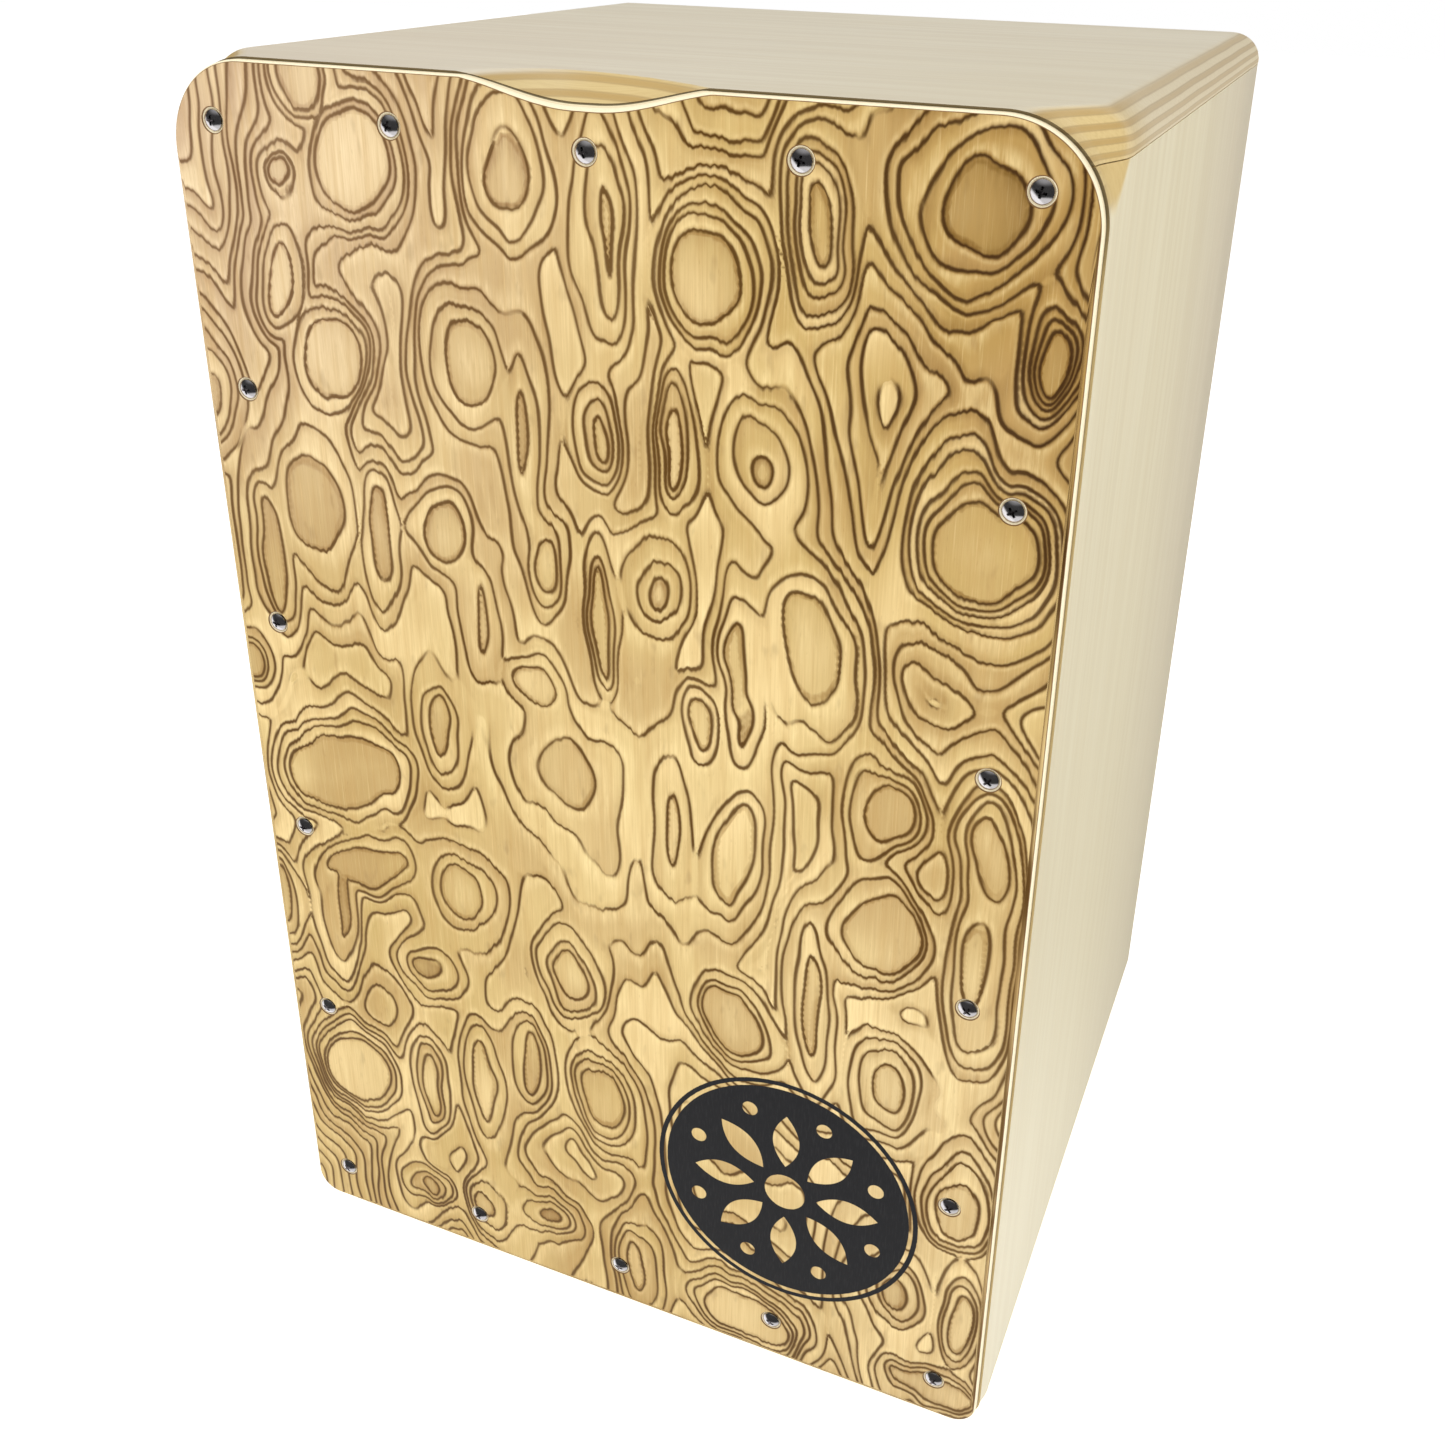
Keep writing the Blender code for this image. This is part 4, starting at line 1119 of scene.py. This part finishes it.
def grid_points(outline, holes, spacing):
    """Staggered grid inside the outline and clear of it and of the holes."""
    xs = np.array([p[0] for p in outline])
    zs = np.array([p[1] for p in outline])
    rows = np.arange(zs.min() + spacing * 0.7, zs.max() - spacing * 0.6, spacing * 0.92)
    lines = []
    for i, z in enumerate(rows):
        start = xs.min() + spacing * (0.7 + 0.5 * (i % 2))
        line = np.arange(start, xs.max() - spacing * 0.6, spacing)
        lines.append(np.stack([line, np.full_like(line, z)], 1))
    grid = np.concatenate(lines)
    x, z = grid[:, 0], grid[:, 1]
    gap = (spacing * 0.55) ** 2
    clear = np.ones(len(grid), bool)
    for (x1, z1), (x2, z2) in zip(outline, outline[1:] + outline[:1]):
        clear &= (x - x1) ** 2 + (z - z1) ** 2 > gap
        length = math.hypot(x2 - x1, z2 - z1)
        if length > spacing:
            share = np.clip(((x - x1) * (x2 - x1) + (z - z1) * (z2 - z1)) / length**2, 0, 1)
            away_x, away_z = x - x1 - share * (x2 - x1), z - z1 - share * (z2 - z1)
            clear &= away_x**2 + away_z**2 > gap
    for hole_x, hole_z, radius in holes:
        clear &= (x - hole_x) ** 2 + (z - hole_z) ** 2 > (radius + spacing * 0.6) ** 2
    return grid[inside_outline(grid, outline) & clear]


def fill_flat(outline, holes, spacing=None):
    """(points, triangles) of a flat outline with (x, z, radius) holes.

    The outline's and the holes' points come first, in order. A spacing adds a grid between them.
    """
    count = len(outline)
    coords = [Vector(p) for p in outline]
    edges = [(k, (k + 1) % count) for k in range(count)]
    for hole in holes:
        start = len(coords)
        coords += [Vector(p) for p in hole_circle(*hole)]
        edges += [(start + k, start + (k + 1) % HOLE_STEPS) for k in range(HOLE_STEPS)]
    fixed = len(coords)
    if spacing:
        coords += [Vector(p) for p in grid_points(outline, holes, spacing)]
    verts, _, faces, sources, _, _ = delaunay_2d_cdt(coords, edges, [], 0, 1e-7)
    where = {old: new for new, olds in enumerate(sources) for old in olds}
    points = np.array([tuple(v) for v in verts])
    triangles = np.array([f for f in faces if len(f) == 3])
    middle = points[triangles].mean(1)
    inside = inside_outline(middle, outline)
    for x, z, radius in holes:
        inside &= (middle[:, 0] - x) ** 2 + (middle[:, 1] - z) ** 2 > (radius * 0.995) ** 2
    order = [where[k] for k in range(fixed)]
    order += sorted(set(range(len(points))) - set(order))
    renumbered = np.empty(len(points), int)
    renumbered[order] = np.arange(len(points))
    return points[order], renumbered[triangles[inside]]


def face_mesh():
    outline = face_outline(FACE_FRONT, FACE_INSET * MM)
    count = len(outline)
    holes = [(x, z, SINK_R + SINK_MARGIN) for x, z in SCREW_AT]
    points, triangles = fill_flat(outline, holes, FACE_GRID)
    verts = [(x, FACE_FRONT, z) for x, z in points]
    faces, slots = [tuple(t) for t in triangles], [VENEER_SLOT] * len(triangles)

    def add_points(points, y):
        start = len(verts)
        verts.extend((x, y, z) for x, z in points)
        return list(range(start, len(verts)))

    def join(one, two, slot):
        for k in range(len(one)):
            m = (k + 1) % len(one)
            faces.append((one[k], one[m], two[m], two[k]))
            slots.append(slot)

    loop = list(range(count))
    for inset, depth, slot in FACE_EDGE:
        y = min(FACE_FRONT + depth * MM, FACE_BACK)
        following = add_points(face_outline(y, inset * MM), y)
        join(loop, following, slot)
        loop = following
    back_outline = [(verts[k][0], verts[k][2]) for k in loop]

    index = list(loop)
    for number, (x, z) in enumerate(SCREW_AT):
        start = count + number * HOLE_STEPS
        current = list(range(start, start + HOLE_STEPS))
        for radius, depth in SCREW_HOLE:
            following = add_points(hole_circle(x, z, radius), FACE_FRONT + depth)
            join(current, following, EDGE_SLOT)
            current = following
        index += current

    points, triangles = fill_flat(back_outline, [(x, z, BORE_R) for x, z in SCREW_AT])
    index += add_points(points[len(index):], FACE_BACK)
    faces += [tuple(index[k] for k in t) for t in triangles]
    slots += [INSIDE_SLOT] * len(triangles)

    mesh = bpy.data.meshes.new("playing_face")
    mesh.from_pydata(verts, [], faces)
    for material in FACE_MATERIALS:
        mesh.materials.append(material)
    mesh.polygons.foreach_set("material_index", slots)
    bm = bmesh.new()
    bm.from_mesh(mesh)
    bmesh.ops.recalc_face_normals(bm, faces=bm.faces)
    bm.to_mesh(mesh)
    bm.free()
    return mesh


def store_figure(mesh):
    """Stores the veneer's ring number, its slopes per mm and the core darkness on the points."""
    places = np.empty(len(mesh.vertices) * 3)
    mesh.vertices.foreach_get("co", places)
    places = places.reshape(-1, 3)
    across, down = (places[:, 0] + HALF) / MM, (SEAT - places[:, 2]) / MM
    step = 0.35
    here, fill = figure(across, down)
    slope_x = (figure(across + step, down)[0] - here) / step
    slope_down = (figure(across, down + step)[0] - here) / step
    for name, values in {
        "ring": here,
        "ring_dz": -slope_down,
        "ring_slope": np.hypot(slope_x, slope_down),
        "core_fill": fill,
    }.items():
        attribute = mesh.attributes.new(name, "FLOAT", "POINT")
        attribute.data.foreach_set("value", values.astype(np.float32))


playing_mesh = face_mesh()
store_figure(playing_mesh)
stand_for(add("playing_face", playing_mesh, smooth=28), "front_panel")


# ------------------------------------------------------------------ screws
def cross_punch(arm, width, top, depth):
    """A tapering cross-shaped punch with a small root, pointing down from z = top."""
    half = width / 2
    fillet = 1.45 * half  # filled-out inner corners
    quarter = [(arm, -half), (arm, half), (fillet, half), (half, fillet)]
    outline = []
    for _ in range(4):
        outline += quarter
        quarter = [(-y, x) for x, y in quarter]
    bm = bmesh.new()
    loops = []
    shrink = 0.42
    for share in (0.0, 0.5, 0.86, 1.0):
        scale = 1 - (1 - shrink) * share if share < 1 else shrink * 0.35
        z = top - depth * share
        loops.append([bm.verts.new((x * scale, y * scale, z)) for x, y in outline])
    for one, two in zip(loops, loops[1:]):
        bridge(bm, one, two)
    bm.faces.new(loops[0])
    bm.faces.new(loops[-1])
    bmesh.ops.triangulate(bm, faces=bm.faces)
    return bm


def thread_ridges(z, end, core, flank):
    """Turned ridges of a coarse thread from z down past end, and the height they stop at."""
    rows = []
    while z > end:
        rows += [(core, z), (core, z - 0.45 * MM), (1.74 * MM, z - 0.72 * MM), (flank, z - 0.80 * MM)]
        z -= 1.25 * MM
    return rows, z


def front_screws():
    """Raised-head screws in the playing face, each turned its own way."""
    head_r, proud, core = 3.3 * MM, 1.2 * MM, 1.25 * MM
    shares = [k / 12 for k in range(13)]
    profile = [(head_r * 0.985 * share, proud - 1.25 * MM * share**2.3) for share in shares]
    profile += [(head_r, -0.12 * MM), (head_r - 0.06 * MM, -0.22 * MM)]
    profile += [(1.75 * MM, -1.7 * MM), (1.7 * MM, -2.5 * MM)]
    ridges, z = thread_ridges(-2.9 * MM, -13.2 * MM, core, 1.69 * MM)
    profile += ridges + [(core, z), (0.55 * MM, -15.2 * MM), (0, -15.9 * MM)]
    blank = add("screw_blank", lathe(profile, 40))
    punch = cross_punch(arm=2.0 * MM, width=0.92 * MM, top=2.1 * MM, depth=3.6 * MM)
    mesh = carve("raised_screw", blank, add("screw_punch", punch))
    facing_front = Matrix.Rotation(math.radians(90), 4, "X")  # local +Z to world -Y
    turns = np.random.default_rng(41).uniform(0, 90, 18)
    for node, (x, z), turn in zip(SCREWS, SCREW_AT, turns):
        spin = Matrix.Rotation(math.radians(turn), 4, "Z")
        place = Matrix.Translation((x, FACE_FRONT, z)) @ facing_front @ spin
        screw = add("raised_screw_" + node[-2:], mesh.copy(), CHROME, smooth=40, place=place)
        stand_for(screw, node)


front_screws()


# ------------------------------------------------------------------ feet
def upright(low, high):
    """Move to the vertical axis of a box."""
    return Matrix.Translation(((low.x + high.x) / 2, (low.y + high.y) / 2, 0))


def rubber_foot(corner, low, high):
    """A tapering foot with a waist, three grooves underneath and a stepped screw hole."""
    top, outer = high.z, (high.x - low.x) / 2
    sole = outer - 2 * MM
    rows = [
        (2.3 * MM, top), (outer - 0.5 * MM, top), (outer - 0.1 * MM, top - 0.2 * MM),
        (outer, top - 0.6 * MM), (outer, top - 2.3 * MM), (outer - 0.12 * MM, top - 2.8 * MM),
        (outer - 0.75 * MM, top - 3.0 * MM), (outer - 0.80 * MM, top - 3.4 * MM),
        (outer - 0.35 * MM, top - 3.7 * MM), (sole + 0.25 * MM, 1.6 * MM), (sole, 0.9 * MM),
        (sole - 0.25 * MM, 0.35 * MM), (sole - 0.8 * MM, 0.06 * MM), (sole - 1.2 * MM, 0.0),
    ]
    for groove in (10.6, 8.9, 7.2):
        for side, depth in ((0.45, 0.0), (0.25, 0.45), (-0.25, 0.45), (-0.45, 0.0)):
            rows.append((groove * MM + side * MM, depth * MM))
    rows += [(5.6 * MM, 0.0), (5.25 * MM, 0.3 * MM), (5.2 * MM, 5.2 * MM), (2.3 * MM, 5.2 * MM)]
    shape = lathe(rows, 72, closed=True)
    foot = add("rubber_foot_" + corner, shape, RUBBER, smooth=35, place=upright(low, high))
    stand_for(foot, "foot_" + corner)


def foot_screw(corner, place):
    """Pan-head screw up through a foot, its cross recess facing the floor."""
    node = "foot_screw_" + corner
    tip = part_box(node)[1].z
    core = 1.2 * MM
    ridges, z = thread_ridges(tip - 2.4 * MM, 6.6 * MM, core, 1.7 * MM)
    rows = [(0, tip), (0.5 * MM, tip - 0.9 * MM), (core, tip - 2.2 * MM), *ridges, (core, z)]
    head = [
        (1.6, 4.9), (3.8, 4.9), (4.0, 4.75), (4.0, 4.3), (3.9, 3.6), (3.5, 2.95), (2.6, 2.45),
        (1.4, 2.25), (0, 2.2),
    ]  # (radius, height) in mm
    rows += [(radius * MM, height * MM) for radius, height in head]
    blank = add("blank", lathe(rows, 32))
    flip = Matrix.Rotation(math.pi, 4, "X") @ Matrix.Rotation(0.5, 4, "Z")
    shape = cross_punch(arm=2.1 * MM, width=0.95 * MM, top=1.2 * MM, depth=3.1 * MM)
    punch = add("punch", shape, place=flip)
    punch.data.transform(Matrix.Translation((0, 0, 2.6 * MM)))
    name = "pan_screw_" + corner
    screw = add(name, carve(name, blank, punch), ZINC, smooth=40, place=place)
    stand_for(screw, node)


for corner in ("front_left", "front_right", "back_left", "back_right"):
    low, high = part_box("foot_" + corner)
    rubber_foot(corner, low, high)
    foot_screw(corner, upright(low, high))


# ------------------------------------------------------------------ snare hardware
BOLT_STEPS = 60


def bolt_thread(bm, low_z, high_z):
    """A helical thread with a tapered top end; returns its lowest loop."""
    radius, core, pitch, taper_run = 3.0 * MM, 2.45 * MM, 1.0 * MM, 0.7 * MM
    count = int((high_z - low_z) / pitch * 8) + 1  # eight loops to a turn
    loops = []
    for i in range(count + 1):
        z = low_z + (high_z - low_z) * i / count
        taper = min(1.0, (high_z - z) / taper_run)
        limit = core * 0.96 + (radius - core * 0.96) * taper
        radii = []
        for k in range(BOLT_STEPS):
            phase = ((z - low_z) / pitch - k / BOLT_STEPS) % 1.0
            crest = 1 - abs(2 * phase - 1)  # 0 at the root, 1 at the crest
            share = min(1.0, max(0.0, (crest - 0.12) / 0.76))
            radii.append(min(core + (radius - core) * share, limit))
        loops.append(ring(bm, radii, z))
    for one, two in zip(loops, loops[1:]):
        bridge(bm, one, two)
    bm.faces.new(loops[-1])
    return loops[0]


def tuner_bolt(hand, low, high):
    """Threaded bolt with a knurled head below, and a hexagonal socket in the head."""
    bottom, top = low.z, low.z + 6.0 * MM  # of the head
    bm = bmesh.new()
    loop = bolt_thread(bm, top + 9 * MM, high.z)

    def even(radius):
        return [radius * MM] * BOLT_STEPS

    knurled = [4.98 * MM - (0.22 * MM if k % 2 else 0.0) for k in range(BOLT_STEPS)]
    hexagon = []
    for k in range(BOLT_STEPS):
        local = (2 * math.pi * k / BOLT_STEPS + math.pi / 6) % (math.pi / 3) - math.pi / 6
        hexagon.append(2.5 * MM / math.cos(local))
    for radii, z in [
        (even(2.98), top + 8.6 * MM), (even(2.98), top + 0.3 * MM), (even(3.3), top),
        (even(4.7), top), (even(4.95), top - 0.25 * MM), (knurled, top - 0.6 * MM),
        (knurled, bottom + 1.0 * MM), (even(4.98), bottom + 0.55 * MM), (even(4.55), bottom),
        ([r + 0.25 * MM for r in hexagon], bottom), (hexagon, bottom + 0.25 * MM),
        (hexagon, bottom + 2.9 * MM), (even(0.6), bottom + 3.6 * MM),
    ]:
        row = ring(bm, radii, z)
        bridge(bm, loop, row)
        loop = row
    bm.faces.new(loop)
    bolt = add("socket_bolt_" + hand, bm, ZINC, smooth=35, place=upright(low, high))
    stand_for(bolt, "tuner_bolt_" + hand, body=hand + "_tuner_bolt")


def tuner_bush(hand, place):
    """Brass bush with a flange at its foot and fine rings round its body."""
    low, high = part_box("tuner_bush_" + hand)
    body, flange = 4.3 * MM, (high.x - low.x) / 2
    flange_z = low.z + 1.2 * MM
    rows = [
        (BOLT_HOLE_R, high.z - 0.25 * MM), (BOLT_HOLE_R + 0.25 * MM, high.z),
        (body - 0.3 * MM, high.z), (body, high.z - 0.3 * MM),
    ]
    z = high.z - 0.7 * MM
    while z > flange_z + 1.2 * MM:
        rows += [(body, z), (body - 0.14 * MM, z - 0.18 * MM), (body, z - 0.36 * MM)]
        z -= 0.9 * MM
    rows += [
        (body, flange_z), (flange - 0.25 * MM, flange_z), (flange, flange_z - 0.25 * MM),
        (flange, low.z + 0.25 * MM), (flange - 0.25 * MM, low.z),
        (BOLT_HOLE_R + 0.3 * MM, low.z), (BOLT_HOLE_R, low.z + 0.3 * MM),
    ]
    shape = lathe(rows, 64, closed=True)
    bush = add("turned_bush_" + hand, shape, BRASS, smooth=30, place=place)
    stand_for(bush, "tuner_bush_" + hand)


def string_axis(node, slack):
    """(matrix, length) of a string from its lower to its upper end, each a mean over slack."""
    low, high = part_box(node)
    places = np.array([v.co for v in NODES[node].data.vertices])
    bottom = Vector(places[places[:, 2] < low.z + slack].mean(0))
    top = Vector(places[places[:, 2] > high.z - slack].mean(0))
    turn = (top - bottom).normalized().to_track_quat("Z", "Y").to_matrix().to_4x4()
    return Matrix.Translation(bottom) @ turn, (top - bottom).length


def string_yoke(hand, place):
    """Rounded block, drilled for the bolt and for both strings."""
    low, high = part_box("string_yoke_" + hand)
    bm = bmesh.new()
    size = [b - a for a, b in zip(low, high)]
    middle = [(a + b) / 2 for a, b in zip(low, high)]
    fit = Matrix.Translation(middle) @ Matrix.Diagonal((*size, 1.0))
    bmesh.ops.create_cube(bm, size=1.0, matrix=fit)

    def level(edge, *axes):
        one, two = (v.co for v in edge.verts)
        return all(abs(one[k] - two[k]) < 1e-5 for k in axes)

    bevel(bm, [e for e in bm.edges if level(e, 0, 1)], 2.0 * MM, 8)
    rims = [
        e for e in bm.edges
        if level(e, 2) and len(e.link_faces) == 2 and e.calc_face_angle(0) > 1.0
    ]
    bevel(bm, rims, 0.4 * MM, 3)
    blank = add("blank", bm)
    # the bolt's drill flares into a countersink at both ends
    flare = BOLT_HOLE_R + 3.6 * MM
    above, below = high.z + 3 * MM, low.z - 3 * MM
    bolt_drill = [
        (0, above), (flare, above), (BOLT_HOLE_R, high.z - 0.6 * MM),
        (BOLT_HOLE_R, low.z + 0.6 * MM), (flare, below), (0, below),
    ]
    drills = [add("drill", lathe(bolt_drill, 48), place=place)]
    string_drill = [(0, 20 * MM), (0.85 * MM, 20 * MM), (0.85 * MM, -8 * MM), (0, -8 * MM)]
    for which in ("inner", "outer"):
        axis, _ = string_axis(f"snare_string_{hand}_{which}", 4 * MM)
        drills.append(add("drill", lathe(string_drill, 24), place=axis))
    name = "yoke_block_" + hand
    yoke = add(name, carve(name, blank, *drills), ZINC, smooth=32)
    stand_for(yoke, "string_yoke_" + hand, body=hand + "_string_yoke")


def wound_string(hand, which):
    """A beaded wire between two end ferrules."""
    node = f"snare_string_{hand}_{which}"
    axis, length = string_axis(node, 0.6 * MM)
    ferrule, winding_pitch = 3.0 * MM, 1.1 * MM
    wire_r, bead_r, rim_r, ferrule_r = 0.30 * MM, 0.38 * MM, 1.0 * MM, 1.3 * MM
    rows = [
        (0.0, 0.0), (rim_r, 0.0), (ferrule_r, 0.3 * MM), (ferrule_r, ferrule - 0.3 * MM),
        (rim_r, ferrule), (wire_r, ferrule),
    ]
    z = ferrule + 0.2 * MM
    wound = length - 2 * ferrule - 0.4 * MM
    count = int(wound / winding_pitch)
    pitch = wound / count
    for _ in range(count):  # close winding shows as shallow beads
        rows += [(wire_r, z), (bead_r, z + pitch * 0.5)]
        z += pitch
    rows += [
        (wire_r, length - ferrule), (rim_r, length - ferrule),
        (ferrule_r, length - ferrule + 0.3 * MM), (ferrule_r, length - 0.3 * MM),
        (rim_r, length), (0.0, length),
    ]
    wire = add(f"wound_string_{hand}_{which}", lathe(rows, 12), WIRE, smooth=60, place=axis)
    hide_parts(node)
    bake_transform(wire)


for hand in ("left", "right"):
    low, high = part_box("tuner_bolt_" + hand)
    bolt_axis = upright(low, high)
    tuner_bolt(hand, low, high)
    tuner_bush(hand, bolt_axis)
    string_yoke(hand, bolt_axis)
    wound_string(hand, "inner")
    wound_string(hand, "outer")

# ------------------------------------------------------------------ nodes that keep their shape
KEPT = {"bottom_panel": FLOOR_WOOD, "string_anchor_bar": BEECH}
for end in ("front", "back"):
    for level in ("top", "bottom"):
        KEPT[f"{end}_batten_{level}"] = PINE_ACROSS
for name, obj in NODES.items():
    if obj.hide_render:
        continue
    obj.data.materials.clear()
    obj.data.materials.append(KEPT.get(name, PINE_UPRIGHT if "batten" in name else ZINC))


# ------------------------------------------------------------------ camera
def add_camera():
    lens = bpy.data.cameras.new("camera")
    lens.sensor_width = 36.0
    lens.lens = 38.25
    lens.shift_x, lens.shift_y = -0.0316, -0.0787
    lens.clip_start, lens.clip_end = 0.01, 50.0
    camera = bpy.data.objects.new("camera", lens)
    scene.collection.objects.link(camera)
    right = Vector((0.92259, 0.38538, 0.01768))
    up = Vector((-0.17823, 0.38512, 0.90549))
    backward = Vector((0.34215, -0.83855, 0.42400))
    turned = Matrix((right, up, backward)).transposed().to_4x4()
    camera.matrix_world = Matrix.Translation((0.22184, -0.55139, 0.53604)) @ turned
    scene.camera = camera


# ------------------------------------------------------------------ floor and light
def studio_floor():
    """Near-white floor that glows a little and isn't mirrored in the product."""
    graph = Material("studio_floor")
    graph.set(
        Base_Color=graph.mix(graph.noise(120), srgb(250, 250, 250), srgb(246, 246, 246)),
        Roughness=0.85,
        Specular_IOR_Level=0.1,
        Emission_Color=WHITE,
        Emission_Strength=0.55,
    )
    bm = bmesh.new()
    bmesh.ops.create_grid(bm, x_segments=2, y_segments=2, size=6.0)
    floor = add("studio_floor", bm, graph.mat)
    floor.visible_glossy = False


def studio_world():
    """White to the camera, soft light on surfaces, and a dim room in polished reflections."""
    world = bpy.data.worlds.new("studio")
    scene.world = world
    world.use_nodes = True
    graph = Graph(world.node_tree)
    towards = graph.make("ShaderNodeTexCoord", output="Generated")
    up = graph.split(towards)[2]
    # the room: a bright patch of floor to the left, pale ground below and a faint ceiling
    left_floor = Vector((-0.65, 0.15, -0.75)).normalized()
    patch = graph.vec("DOT_PRODUCT", towards, left_floor, output="Value")
    patch = patch.step(0.52, 0.78, 0.04, 1.15)
    ceiling = up.step(0.45, 1.0, 0.0, 0.35)
    ground = up.step(-0.54, -0.74, 0.0, 0.78)

    def background(colour, strength):
        return graph.make("ShaderNodeBackground", (colour, strength))

    soft = background((1.0, 0.99, 0.97, 1), 0.68)
    shiny = background(WHITE, patch.max(ground) + ceiling)
    paths = graph.new("ShaderNodeLightPath").outputs
    glossy, direct = (Value(graph, paths[key]) for key in ("Is Glossy Ray", "Is Camera Ray"))
    lighting = graph.make("ShaderNodeMixShader", (glossy, soft, shiny))
    shown = graph.make("ShaderNodeMixShader", (direct, lighting, background(WHITE, 1.0)))
    graph.put(graph.new("ShaderNodeOutputWorld").inputs[0], shown)


def area_light(name, place, target, size, power, colour):
    light = bpy.data.lights.new(name, "AREA")
    light.shape = "RECTANGLE"
    light.size, light.size_y = size
    light.energy = power
    light.color = colour
    obj = bpy.data.objects.new(name, light)
    scene.collection.objects.link(obj)
    obj.location = place
    obj.rotation_euler = (Vector(target) - Vector(place)).to_track_quat("-Z", "Y").to_euler()
    obj.visible_glossy = False


add_camera()
studio_floor()
studio_world()
area_light(
    "key", place=(-1.3, -1.6, 1.9), target=(0, -0.1, 0.25), size=(1.6, 1.4),
    power=25, colour=(1.0, 0.985, 0.955),
)
area_light(
    "fill_right", place=(1.9, -0.5, 1.0), target=(0, 0, 0.25), size=(1.4, 1.6),
    power=8, colour=(1.0, 0.99, 0.965),
)
area_light(
    "overhead", place=(0.1, 0.4, 2.2), target=(0, 0, 0.4), size=(1.8, 1.8),
    power=9, colour=(1.0, 0.995, 0.975),
)

scene.view_settings.view_transform = "Standard"
scene.view_settings.look = "None"
scene.view_settings.exposure = 0.0
scene.view_settings.gamma = 1.0
